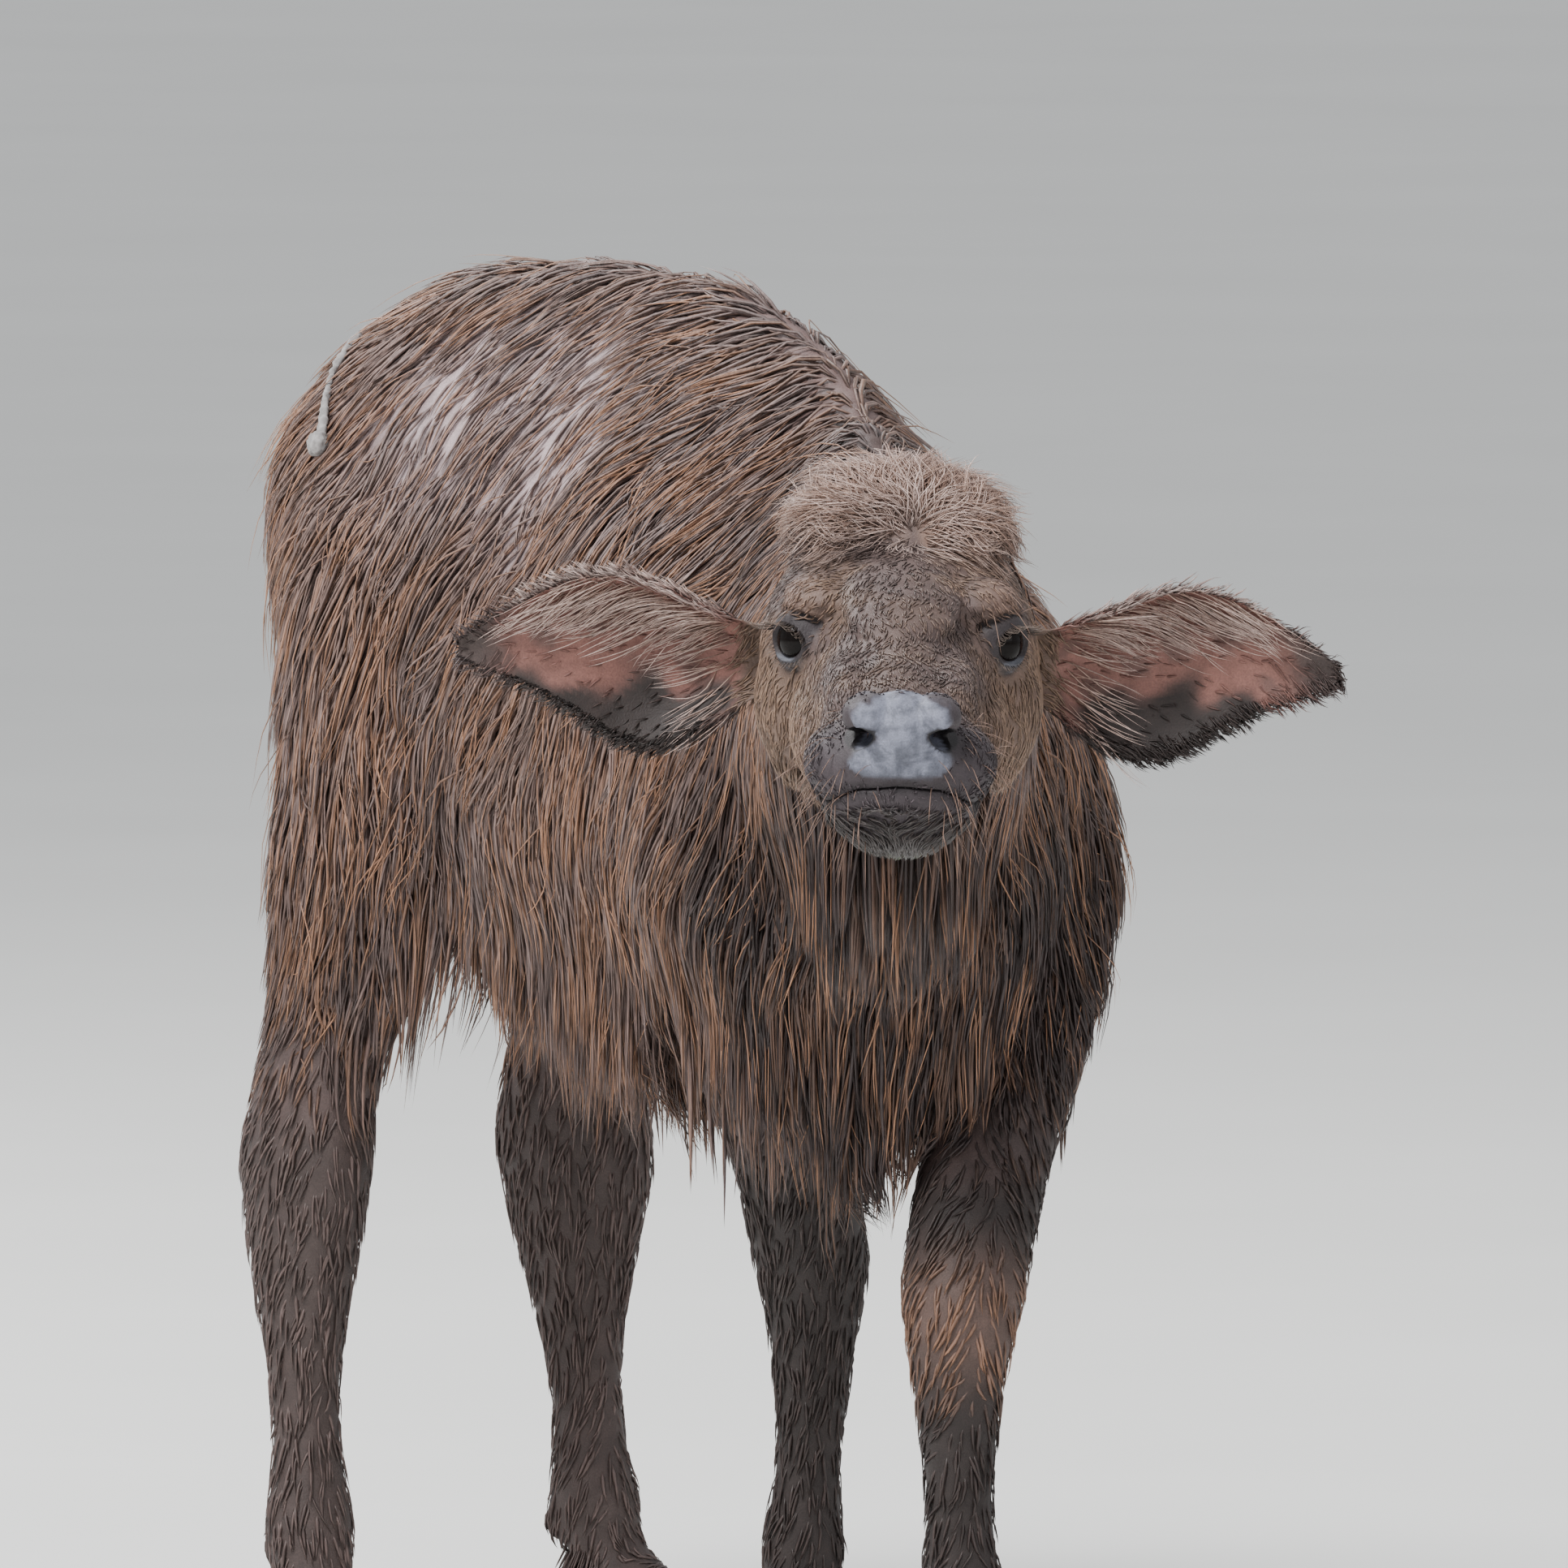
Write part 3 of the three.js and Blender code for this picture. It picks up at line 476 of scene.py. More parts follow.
def body_coloring(p: np.ndarray) -> Coloring:
    """Markings of the trunk, neck, legs and tail, with painted shade darkening the lower body, the chest and
    the fore legs.

    Args:
        p: Points in the calf's frame, in millimetres.

    Returns:
        Colours, density and length of the coat there.
    """
    _, y, z = p.T
    blotch, fine = ripple(p, 170, 3), ripple(p, 46, 5)
    bare = np.maximum(blob(p, (-70, 105, 812), (85, 175, 135)), 0.8 * blob(p, (80, 120, 805), (75, 130, 90)))
    bare = bump01(bare + 0.35 * blotch * (bare > 0) + 0.15 * fine * (bare > 0))
    hide = mix(mix(HIDE, HIDE * 0.6, 0.5 + 0.5 * blotch), PALE_HIDE, bare)
    # Darker coat at a blob on the right of the neck's base, low on the body and at the lower front; the low
    # and front parts are partly the coat's own darker tone, partly painted shade beneath the body.
    dark = np.maximum.reduce(
        [
            blob(p, (-80, -250, 745), (80, 90, 95)),
            0.85 * bump01((640 - z) / 240),
            0.9 * bump01((-170 - y) / 90) * bump01((690 - z) / 140),
        ]
    )
    red = bump01(0.55 + 0.4 * blotch + 0.25 * fine)
    root = mix(mix(DARK_BROWN * 1.6, RED_BROWN, red), DARK_BROWN, 0.75 * dark)
    streak = bump01((ripple(p, 20, 7) + 0.55 * fine - 0.05) / 0.5)
    tip = mix(MAUVE, ORANGE, np.clip(0.25 * red + 0.75 * streak, 0, 1))
    tip = mix(tip, RED_BROWN * 1.15, 0.35 * (1 - streak))
    tip = mix(tip, DARK_BROWN * 1.5, 0.8 * dark * (1 - 0.65 * streak))
    # The lower chest made much darker: partly its darker coat, partly painted shade under the neck and head.
    chest_tone_and_shade = bump01((-150 - y) / 110) * bump01((700 - z) / 150)
    root = mix(root, DARK_BROWN * 0.5, 0.9 * chest_tone_and_shade)
    tip = mix(tip, DARK_BROWN * 0.9, 0.9 * chest_tone_and_shade * (1 - 0.35 * streak))
    sweep = blob(p, (-60, -80, 800), (90, 110, 110))
    tip = mix(tip, mix(MAUVE * 1.3, ORANGE * 1.3, streak), 0.8 * sweep)
    root = mix(root, mix(root, PALE_HIDE * 0.7, 0.7), 0.7 * bare)
    low = bump01((400 - z) / 70)
    # Leg colour, darker on the fore legs than on the hind: partly their own tone, partly painted shade under
    # the chest.
    shade = mix(LEG_DARK, LEG_DARK * 0.42, bump01((20 - y) / 60))
    hide = mix(hide, shade * 0.7, np.maximum(0.8 * dark, low))
    root, tip = mix(root, shade, low), mix(tip, shade * 1.35, low)
    knee = blob(p, (-70, -350, 268), (62, 62, 52))
    root, tip = mix(root, RED_BROWN, 0.9 * knee), mix(tip, ORANGE, 0.9 * knee)
    hide = mix(hide, RED_BROWN, 0.6 * knee)
    tail = bump01((y - 398) / 14) * bump01((650 - z) / 60)
    root, tip, hide = mix(root, BLACK, tail), mix(tip, BLACK * 2, tail), mix(hide, BLACK * 3, tail)
    density = np.clip(1.0 - 0.72 * bare, 0.1, 1) * np.where(z < 90, 1.3, 1.0)
    length = 1.0 - 0.45 * bare
    on_leg = bump01((90 - leg_distances(p).min(1)) / 25)
    length *= 1 - 0.68 * bump01((540 - z) / 170) * on_leg
    length *= 1 - 0.3 * bump01((120 - z) / 60)
    return Coloring(hide, root, tip, density, length)


def nose_pad(h: np.ndarray) -> np.ndarray:
    """How much of the dried mud on the nose covers points of the head's frame."""
    f, l, u = h.T
    waist = 32.5 - 15 * np.exp(-(((u - 4) / 6.5) ** 2)) - 0.035 * np.maximum(u - 13, 0) ** 2.0
    waist = waist - 0.15 * np.maximum(-11 - u, 0) ** 2 + 1.6 * ripple(h, 14, 21)
    top = 29 - 0.006 * l**2 + 1.2 * ripple(h, 11, 23)
    inside = np.minimum.reduce([(waist - np.abs(l)) / 3.5, (u + 21) / 3.5, (top - u) / 3.5, (f - 186) / 4])
    return bump01(inside)


def mouth_line(l: np.ndarray) -> np.ndarray:
    """Height of the line between the lips at a distance to the side, in the head's frame."""
    return -27 - 26 * bump01((np.abs(l) - 22) / 42) + 1.2 * np.cos(l / 9)


def head_coloring(p: np.ndarray) -> Coloring:
    """Markings of the head and ears, with painted shade along the lips and a painted reflection on the wet
    lower lids, with the same arguments and result as body_coloring.
    """
    h = to_head(p)
    f, l, u = h.T
    side = np.abs(l)
    blotch, fine = ripple(p, 60, 13), ripple(p, 18, 15)
    height = u - 30 + 12 * fine + 9 * blotch + 0.0018 * l**2 - 0.35 * (f + 60)
    crown = bump01(height / 40) * bump01((20 - f) / 56)
    back = bump01((-96 - f) / 14)
    cheek = bump01((side - 40) / 22) * bump01((8 - u) / 26)
    bridge = bump01((44 - side) / 24) * bump01((f + 10) / 40) * bump01((u + 10) / 20)
    base = mix(FACE_GREY * 1.25, FACE_BROWN, bump01(0.35 + 0.4 * blotch + 0.2 * fine))
    root = mix(base, FACE_BROWN * 1.1, 0.75 * cheek)
    root = mix(root, FACE_GREY, 0.6 * bridge)
    brow = blob(np.column_stack([f, side, u]), (-2, 60, 27), (34, 20, 14))
    root = mix(root, TAN * 0.55, 0.55 * brow)
    tip = mix(root * 1.5, TAN * 0.6, 0.25 * bump01(0.5 + blotch))
    root = mix(root, TAN * 0.75, crown)
    tip = mix(tip, mix(TAN, PALE_TAN, bump01(0.5 + 0.6 * fine)), crown)
    whorl = blob(h, (-44, 9, 56), (26, 18, 20))
    tip = mix(tip, PALE_TAN * 1.2, whorl)
    hide = mix(root * 0.9, HIDE * 0.8, 0.3)
    muzzle = bump01((f - 146 + 0.35 * (-u) + 9 * fine + 6 * blotch) / 52)
    root, tip, hide = mix(root, MUZZLE, muzzle), mix(tip, MUZZLE * 1.3, muzzle), mix(hide, MUZZLE, muzzle)
    chin = bump01((-30 - u) / 14) * bump01((f - 120) / 40)
    root, tip = mix(root, FACE_GREY * 0.9, chin), mix(tip, CHIN_HAIR, chin)
    stain = blob(h, (176, -4, -72), (30, 34, 14)) * bump01(0.4 + fine)
    tip = mix(tip, CHIN_GREEN, 0.8 * stain)
    # Mottle of the dried mud on the nose, lighter towards the top of the pad.
    mud_tone = 0.5 + 0.55 * ripple(h, 12, 25) + 0.35 * ripple(h, 4, 27) + 0.012 * u
    mud = mix(NOSE_MUD * 0.62, NOSE_MUD * 1.2, bump01(mud_tone))
    hide = mix(hide, mud, nose_pad(h))
    lips = np.exp(-(((u - mouth_line(l)) / 5.5) ** 2)) * bump01((f - 150) / 25)
    # Darker along the line between the lips: partly the lips' dark skin, partly painted shade in the crease.
    hide = mix(hide, MUZZLE * 0.45, 0.85 * lips)
    eye = np.linalg.norm(np.column_stack([f, side, u]) - np.array(EYE_CENTRE), axis=1)
    rim = bump01((24 - eye) / 4)
    hide = mix(hide, LID_SKIN, rim)
    # A pale bluish band on the moist lower lid: painted reflection of the light on the wet skin.
    lower_lid_sheen = rim * bump01((-7 - u) / 3) * bump01((20.5 - eye) / 1.5)
    hide = mix(hide, WET_LID_SHEEN, 0.7 * lower_lid_sheen)
    root, tip = mix(root, DARK_BROWN, back), mix(tip, RED_BROWN, back)
    bald = bump01((f - 200) / 12) * bump01((u + 26) / 5)
    density = np.clip((1 - nose_pad(h)) * (1 - 0.95 * bald) * (1 - 0.8 * lips) * (1 - rim), 0, 1)
    length = 0.16 + 0.10 * cheek + 0.55 * crown + 0.5 * back
    length *= 1 - 0.55 * bump01((f - 120) / 60)
    length += 0.2 * chin + 0.25 * bump01((-62 - u) / 16) * bump01((130 - f) / 60)
    return Coloring(hide, root, tip, density, length)


def ear_share(p: np.ndarray) -> np.ndarray:
    """1 on the ears, 0 on the head."""
    h = to_head(p)
    around = (h[:, 0] < 0) & (h[:, 0] > -114) & (np.abs(h[:, 1]) < 280) & (np.abs(h[:, 2] + 34) < 72)
    return bump01((np.abs(h[:, 1]) - 90) / 8) * around


def ear_coloring(p: np.ndarray, inner: np.ndarray) -> Coloring:
    """Markings of the ears, with painted shade on their lower part.

    Args:
        p: Points in the calf's frame.
        inner: 1 where the surface faces into the cup, 0 outside.

    Returns:
        Colours, density and length of the coat there.
    """
    h = to_head(p)
    out, u = np.abs(h[:, 1]), h[:, 2]
    fine = ripple(p, 16, 31)
    blotches = bump01((ripple(p, 24, 33) - 0.45) / 0.2)
    across = (u + 66) / 66
    # Darker towards the lower edge of each ear: partly its own grey, partly painted shade under the drooping
    # ear.
    lower = bump01((0.30 - across + 0.2 * ripple(p, 45, 35)) / 0.28)
    pink = mix(EAR_PINK, FACE_GREY, np.clip(0.12 + 0.45 * blotches + lower, 0, 1))
    tipward = bump01((out - 222) / 30)
    pink = mix(pink, FACE_GREY, tipward)
    pink = mix(pink, FACE_GREY * 0.4, lower)
    hide = mix(FACE_GREY * 1.1, pink, inner)
    root = mix(DARK_BROWN * 1.2, FACE_GREY, 0.5 + 0.5 * fine)
    root = mix(root, FACE_GREY * 0.4, lower)
    rim_high = bump01((across - 0.8) / 0.2)
    tip = mix(root * 1.6, PALE_TAN * 0.8, rim_high * (1 - 0.6 * tipward))
    root, tip = mix(root, hide, 0.8 * inner), mix(tip, hide * 1.3, 0.7 * inner * (1 - rim_high))
    return Coloring(hide, root, tip, np.ones(len(p)), 0.14 * np.ones(len(p)))


class Region(Enum):
    """Parts of the hide that have their own patch of the unwrap."""

    TRUNK = 0
    HEAD = 1
    EARS = 2
    TAIL = 3
    FORE_LEFT = 4
    FORE_RIGHT = 5
    HIND_LEFT = 6
    HIND_RIGHT = 7


def leg_distances(p: np.ndarray) -> np.ndarray:
    """Distance of points from the axis of each leg, one column a leg."""
    columns = []
    for name in LEG_JOINTS:
        axis = LEGS[name].rows[:, :3]
        order = np.argsort(axis[:, 2])
        x = np.interp(p[:, 2], axis[order, 2], axis[order, 0])
        y = np.interp(p[:, 2], axis[order, 2], axis[order, 1])
        columns.append(np.hypot(p[:, 0] - x, p[:, 1] - y))
    return np.array(columns).T


def regions_of(p: np.ndarray) -> np.ndarray:
    """The region number of each point."""
    h = to_head(p)
    region = np.full(len(p), Region.TRUNK.value)
    leg = np.argmin(leg_distances(p), axis=1)
    low = p[:, 2] < 440
    region[low] = Region.FORE_LEFT.value + leg[low]
    region[(p[:, 1] > 396) & (np.abs(p[:, 0]) < 40) & (p[:, 2] < 800)] = Region.TAIL.value
    head = (h[:, 0] > -112) & (np.abs(h[:, 1]) < 130) & (np.abs(h[:, 2]) < 140)
    region[head] = Region.HEAD.value
    region[ear_share(p) > 0.5] = Region.EARS.value
    return region


def turn_and_run(p: np.ndarray, region: int) -> tuple[np.ndarray, np.ndarray]:
    """Angle round a region's axis, in turns, and place along it from 0 to 1."""
    if region == Region.HEAD.value:
        h = to_head(p)
        return np.arctan2(h[:, 1], -(h[:, 2] + 24)) / (2 * math.pi), (h[:, 0] + 150) / 400
    if region == Region.TRUNK.value:
        return np.arctan2(p[:, 0] + 20, 640 - p[:, 2]) / (2 * math.pi), (p[:, 1] + 480) / 920
    if region == Region.TAIL.value:
        return np.arctan2(p[:, 0], p[:, 1] - 416) / (2 * math.pi), (p[:, 2] - 300) / 520
    name = list(LEG_JOINTS)[region - Region.FORE_LEFT.value]
    axis = LEGS[name].rows
    order = np.argsort(axis[:, 2])
    x = np.interp(p[:, 2], axis[order, 2], axis[order, 0])
    y = np.interp(p[:, 2], axis[order, 2], axis[order, 1])
    return np.arctan2(p[:, 0] - x, p[:, 1] - y) / (2 * math.pi), p[:, 2] / 460


TILES = {
    Region.TRUNK.value: (0.01, 0.01, 0.50, 0.50),
    Region.HEAD.value: (0.51, 0.51, 0.99, 0.99),
    Region.TAIL.value: (0.01, 0.92, 0.50, 0.99),
    Region.FORE_LEFT.value: (0.51, 0.01, 0.74, 0.24),
    Region.FORE_RIGHT.value: (0.76, 0.01, 0.99, 0.24),
    Region.HIND_LEFT.value: (0.51, 0.26, 0.74, 0.49),
    Region.HIND_RIGHT.value: (0.76, 0.26, 0.99, 0.49),
}


def unwrap(p: np.ndarray, anchor: np.ndarray, facing: np.ndarray) -> np.ndarray:
    """Lays points of the hide out flat.

    Args:
        p: Points in the calf's frame.
        anchor: For each point, the middle of the face it belongs to.
        facing: For each point, the normal of that face.

    Returns:
        One UV pair for each point.
    """
    uv = np.zeros((len(p), 2))
    region = regions_of(anchor)
    for number in np.unique(region):
        here = region == number
        if number == Region.EARS.value:
            h, mid = to_head(p[here]), to_head(anchor[here])
            left = mid[:, 1] > 0
            inner = facing[here] @ FORWARD > 0
            across = (np.abs(h[:, 1]) - 80) / 200
            up = (h[:, 2] + 100) / 150
            uv[here, 0] = np.where(left, 0.26, 0.01) + 0.23 * np.clip(across, 0, 1)
            uv[here, 1] = np.where(inner, 0.72, 0.52) + 0.18 * np.clip(up, 0, 1)
            continue
        turn, run = turn_and_run(p[here], number)
        mid, _ = turn_and_run(anchor[here], number)
        beside = mid + (turn - mid + 0.5) % 1 - 0.5
        turn = beside + 0.5
        x0, y0, x1, y1 = TILES[number]
        uv[here, 0] = x0 + (x1 - x0) * (0.02 + 0.96 * np.clip(turn, 0, 1))
        uv[here, 1] = y0 + (y1 - y0) * (0.02 + 0.96 * np.clip(run, 0, 1))
    return uv


def link(mesh: bpy.types.Mesh, name: str) -> bpy.types.Object:
    """Puts a mesh in the scene under a name."""
    obj = bpy.data.objects.new(name, mesh)
    bpy.context.scene.collection.objects.link(obj)
    return obj


def object_of(bm: bmesh.types.BMesh, name: str) -> bpy.types.Object:
    """Turns a bmesh into an object with its faces outward and smooth."""
    bmesh.ops.recalc_face_normals(bm, faces=bm.faces)
    for face in bm.faces:
        face.smooth = True
    mesh = bpy.data.meshes.new(name)
    bm.to_mesh(mesh)
    bm.free()
    return link(mesh, name)


def applied(obj: bpy.types.Object) -> bpy.types.Object:
    """Applies an object's modifiers."""
    bpy.context.view_layer.update()
    mesh = bpy.data.meshes.new_from_object(obj.evaluated_get(bpy.context.evaluated_depsgraph_get()))
    old = obj.data
    obj.modifiers.clear()
    obj.data = mesh
    mesh.name = obj.name
    bpy.data.meshes.remove(old)
    return obj


def boolean(base: bpy.types.Object, other: bpy.types.Object, operation: str) -> bpy.types.Object:
    """Joins or cuts base with other, which is then removed."""
    modifier = base.modifiers.new("join", "BOOLEAN")
    modifier.solver = "MANIFOLD"
    modifier.operation = operation
    modifier.object = other
    applied(base)
    bpy.data.objects.remove(other)
    return base


def remeshed(obj: bpy.types.Object, voxel: float, rounds: int) -> bpy.types.Object:
    """Makes one closed surface of the overlapping bodies in an object and smooths it."""
    remesh = obj.modifiers.new("skin", "REMESH")
    remesh.mode = "VOXEL"
    remesh.voxel_size = voxel
    remesh.use_smooth_shade = True
    smooth = obj.modifiers.new("smooth", "SMOOTH")
    smooth.factor = 0.5
    smooth.iterations = rounds
    return applied(obj)


def column(items: bpy.types.bpy_prop_collection, key: str, width: int, kind: type) -> np.ndarray:
    """Reads one property of all items of a mesh.

    Args:
        items: Vertices, polygons or another collection of the mesh.
        key: Name of the property.
        width: Numbers an item.
        kind: Type of the numbers.

    Returns:
        One row an item, or a flat array where width is 1.
    """
    values = np.zeros(len(items) * width, kind)
    items.foreach_get(key, values)
    return values.reshape(-1, width) if width > 1 else values


def points_of(mesh: bpy.types.Mesh) -> np.ndarray:
    """A mesh's vertices in the calf's frame, in millimetres."""
    return (column(mesh.vertices, "co", 3, np.float32).astype(float) - OFFSET) * 1000


def set_points(mesh: bpy.types.Mesh, p: np.ndarray) -> None:
    """Moves a mesh's vertices to points of the calf's frame."""
    mesh.vertices.foreach_set("co", to_row(p).astype(np.float32).ravel())
    mesh.update()


def normals_of(mesh: bpy.types.Mesh) -> np.ndarray:
    """A mesh's vertex normals."""
    return column(mesh.vertex_normals, "vector", 3, np.float32).astype(float)


def set_layers(mesh: bpy.types.Mesh, color: np.ndarray, uv: np.ndarray) -> None:
    """Gives a mesh its colours, one a vertex, and its places on the unwrap, one a corner."""
    tint = mesh.color_attributes.new("tint", "FLOAT_COLOR", "POINT")
    rgba = np.column_stack([color, np.ones(len(color))])
    tint.data.foreach_set("color", rgba.astype(np.float32).ravel())
    layer = mesh.uv_layers.new(name="OFBake")
    layer.data.foreach_set("uv", uv.astype(np.float32).ravel())


def eye_axes(side: int) -> np.ndarray:
    """Axes of an eye in the head's frame: its gaze, across towards the nose, and up."""
    gaze = unit(np.array([GAZE[0], side * GAZE[1], GAZE[2]]))
    across = unit(np.cross(gaze, np.array([0.0, 0.0, 1.0]))) * side
    return np.array([gaze, across, unit(np.cross(across, gaze)) * side])


def eye_frame(side: int) -> tuple[np.ndarray, np.ndarray]:
    """Centre and axes of an eye in the calf's frame."""
    return from_head(np.array(EYE_CENTRE) * [1, side, 1]), eye_axes(side) @ HEAD_AXES


def eye_view(h: np.ndarray) -> np.ndarray:
    """Head-frame points as (out, across, up) of the eye on their own side."""
    side = np.where(h[:, 1] >= 0, 1.0, -1.0)
    local = np.column_stack([h[:, 0], h[:, 1] * side, h[:, 2]]) - np.array(EYE_CENTRE)
    return local @ eye_axes(1).T


def ear_outline(out: np.ndarray) -> tuple[np.ndarray, np.ndarray]:
    """Height of an ear's middle and its half width, at distances from the middle of the head."""
    rows = np.array(EAR_ROWS, float)
    return np.interp(out, rows[:, 0], rows[:, 1]), np.interp(out, rows[:, 0], rows[:, 2])


def ear_ring(side: int, t: float, steps: int, thickness: float) -> np.ndarray:
    """One closed section of an ear.

    Args:
        side: 1 for the left ear, -1 for the right.
        t: Place from the root, 0, to the tip, 1.
        steps: Points on each face of the leaf.
        thickness: Thickness of the leaf in millimetres.

    Returns:
        The points in the calf's frame.
    """
    out, centre, half = row_at(np.array(EAR_ROWS, float), np.array([t]))[0]
    bend = math.radians(150 - 95 * t)
    radius = max(half, 3) / math.sin(min(bend / 2, math.pi / 2))
    sweep = -60 - 22 * t * t
    level = centre - EAR_DROOP[side] * (out - EAR_ROWS[0][0])
    u = np.linspace(-1, 1, steps)
    angle = bend / 2 * np.sign(u) * np.abs(u) ** 0.9
    roll = 3.5 * np.sin(7 * t) * u**2
    half_depth = thickness * (1 - 0.35 * t) / 2 * np.sqrt(1.02 - u**2)

    def leaf(r: np.ndarray, a: np.ndarray) -> np.ndarray:
        """One face of the ear, at radii r and angles a of its bend."""
        spread = radius * math.cos(bend / 2) - r * np.cos(a)
        return np.column_stack([sweep + spread + roll, np.full(len(a), side * out), level + r * np.sin(a)])

    ring = np.vstack([leaf(radius + half_depth, angle), leaf(radius - half_depth, angle)[::-1]])
    return from_head(ring)


NOSTRIL_CENTRE = (220.0, 26.0, 3.0)
NOSTRIL_SIZE = (22.0, 11.5, 7.4)


def nostril_axes(side: int) -> np.ndarray:
    """Axes of a nostril in the head's frame: into the nose, outward and up."""
    tilt = math.radians(28)
    deep = unit(np.array([0.9, side * 0.43, 0.0]))
    out = np.array([0.0, side * math.cos(tilt), -math.sin(tilt)])
    return np.array([deep, out, [0.0, side * math.sin(tilt), math.cos(tilt)]])


def nostril_level(h: np.ndarray) -> np.ndarray:
    """1 on the wall of the nostril on a point's own side, less inside it."""
    levels = []
    for side in (-1, 1):
        local = (h - np.array(NOSTRIL_CENTRE) * [1, side, 1]) @ nostril_axes(side).T
        levels.append(np.linalg.norm(local / np.array(NOSTRIL_SIZE), axis=1))
    return np.minimum(*levels)


def mouth_depth(h: np.ndarray) -> np.ndarray:
    """How far head-frame points lie inside the nostrils and mouth, in millimetres."""
    f, l, u = h.T
    nostril = 40 * (1.12 - nostril_level(h))
    slit = 216 - MOUTH_CURL * (np.abs(l) / MOUTH_HALF_WIDTH) ** 2.4 - f
    slit = slit * (np.abs(u - mouth_line(l)) < 2.0) * (np.abs(l) < MOUTH_HALF_WIDTH) * (f > 150)
    return np.maximum(nostril, slit)


def hide_colors(p: np.ndarray, n: np.ndarray) -> np.ndarray:
    """Colours of bare hide at points with normals n, painted black as shade inside the nostrils and mouth.
    """
    h = to_head(p)
    on_head = bump01((h[:, 0] + 128) / 26) * (np.abs(h[:, 1]) < 140) * (np.abs(h[:, 2]) < 150)
    color = mix(body_coloring(p).hide, head_coloring(p).hide, on_head)
    inner = bump01((n @ FORWARD) / 0.3)
    color = mix(color, ear_coloring(p, inner).hide, ear_share(p))
    # Black inside the nostrils and the mouth: painted shade in the hollows.
    hollow_shade = bump01((mouth_depth(h) - 2) / 4)
    return mix(color, BLACK, hollow_shade)


@dataclass
class Skin:
    """The one hide of trunk, neck, head, ears, legs and tail."""

    body_voxel: float = 0.0067
    head_voxel: float = 0.0023
    lid_opening: tuple = (16.6, 13.4)

    def body(self) -> bpy.types.Object:
        """The trunk, neck, legs and tail as one closed surface."""
        bm = bmesh.new()
        TRUNK.loft(bm, 40, 48)
        NECK.loft(bm, 16, 40)
        for name, leg in LEGS.items():
            leg.loft(bm, 48, 28, -1.5)
            side, ahead = leg_axes(name)
            fetlock = np.array(LEG_JOINTS[name][3], float)
            for k in (-1, 1):
                centre = fetlock - 24 * ahead + 13 * k * side
                centre[2] = 78
                matrix = ball_matrix(centre, [ahead, side, UP], (9, 9, 13))
                bmesh.ops.create_uvsphere(bm, u_segments=16, v_segments=8, radius=1.0, matrix=matrix)
        DOCK.loft(bm, 30, 16)
        turn = math.radians(-28)
        keel_axes = [[math.cos(turn), math.sin(turn), 0], [-math.sin(turn), math.cos(turn), 0], [0, 0, 1]]
        matrix = ball_matrix(np.array([-64, -256, 448.0]), keel_axes, (44, 78, 74))
        bmesh.ops.create_uvsphere(bm, u_segments=24, v_segments=12, radius=1.0, matrix=matrix)
        return remeshed(object_of(bm, "body"), self.body_voxel, 9)

    def head(self) -> bpy.types.Object:
        """The head as one closed surface, without ears and openings."""
        bm = bmesh.new()
        HEAD.loft(bm, 44, 48, -1.0)
        for side in (-1, 1):
            head_ball(bm, (-12, side * 46, 21), (32, 24, 13), 6)
            head_ball(bm, (-31, side * 58, -47), (55, 28, 42), -13)
            head_ball(bm, (40, side * 44, -42), (60, 21, 26), -8)
            head_ball(bm, (184, side * 36, -22), (32, 21, 22))
            head_ball(bm, (209, side * 22, 14), (17, 14, 12))
            head_ball(bm, (2, side * 57, 0), (20, 20, 20))
            head_ball(bm, (120, side * 30, 2), (50, 15, 16), -4)
        head_ball(bm, (182, 0, -56), (33, 36, 20), 6)
        head_ball(bm, (204, 0, 0), (24, 25, 25), 10)
        head_ball(bm, (206, 0, -16), (20, 31, 12), 0)
        head_ball(bm, (-88, 0, 37), (52, 66, 35), -14)
        head_ball(bm, (20, 0, 28), (70, 36, 14), -6)
        return remeshed(object_of(bm, "head"), self.head_voxel, 7)

    def ear(self, side: int) -> bpy.types.Object:
        """One ear: a thin leaf rolled to a cup at its root."""
        bm = bmesh.new()
        add_tube(bm, [ear_ring(side, t, 22, 4.6) for t in np.linspace(0, 1, 64)])
        return object_of(bm, "ear")

    def mouth_cutter(self) -> bpy.types.Object:
        """The thin wedge between the lips."""
        bm = bmesh.new()
        rings = []
        for l in np.linspace(-MOUTH_HALF_WIDTH, MOUTH_HALF_WIDTH, 41):
            back = 214 - MOUTH_CURL * (abs(l) / MOUTH_HALF_WIDTH) ** 2.4
            height = mouth_line(np.array([l]))[0]
            gap = 2.1 * (1 - (abs(l) / 60) ** 4)
            rings.append(from_head([[back - 9, l, height], [262, l, height - gap], [262, l, height + gap]]))
        add_tube(bm, rings)
        return object_of(bm, "cutter")

    def opening_cutter(self, side: int) -> bpy.types.Object:
        """The almond that opens the lids of one eye, with the nostril on the same side."""
        bm = bmesh.new()
        centre, axes = eye_frame(side)
        matrix = ball_matrix(centre + axes[0] * (EYE_RADIUS + 6.0), axes, (14.0, *self.lid_opening))
        bmesh.ops.create_uvsphere(bm, u_segments=48, v_segments=24, radius=1.0, matrix=matrix)
        middle = from_head(np.array(NOSTRIL_CENTRE) * [1, side, 1])
        matrix = ball_matrix(middle, nostril_axes(side) @ HEAD_AXES, NOSTRIL_SIZE)
        bmesh.ops.create_uvsphere(bm, u_segments=32, v_segments=16, radius=1.0, matrix=matrix)
        return object_of(bm, "cutter")

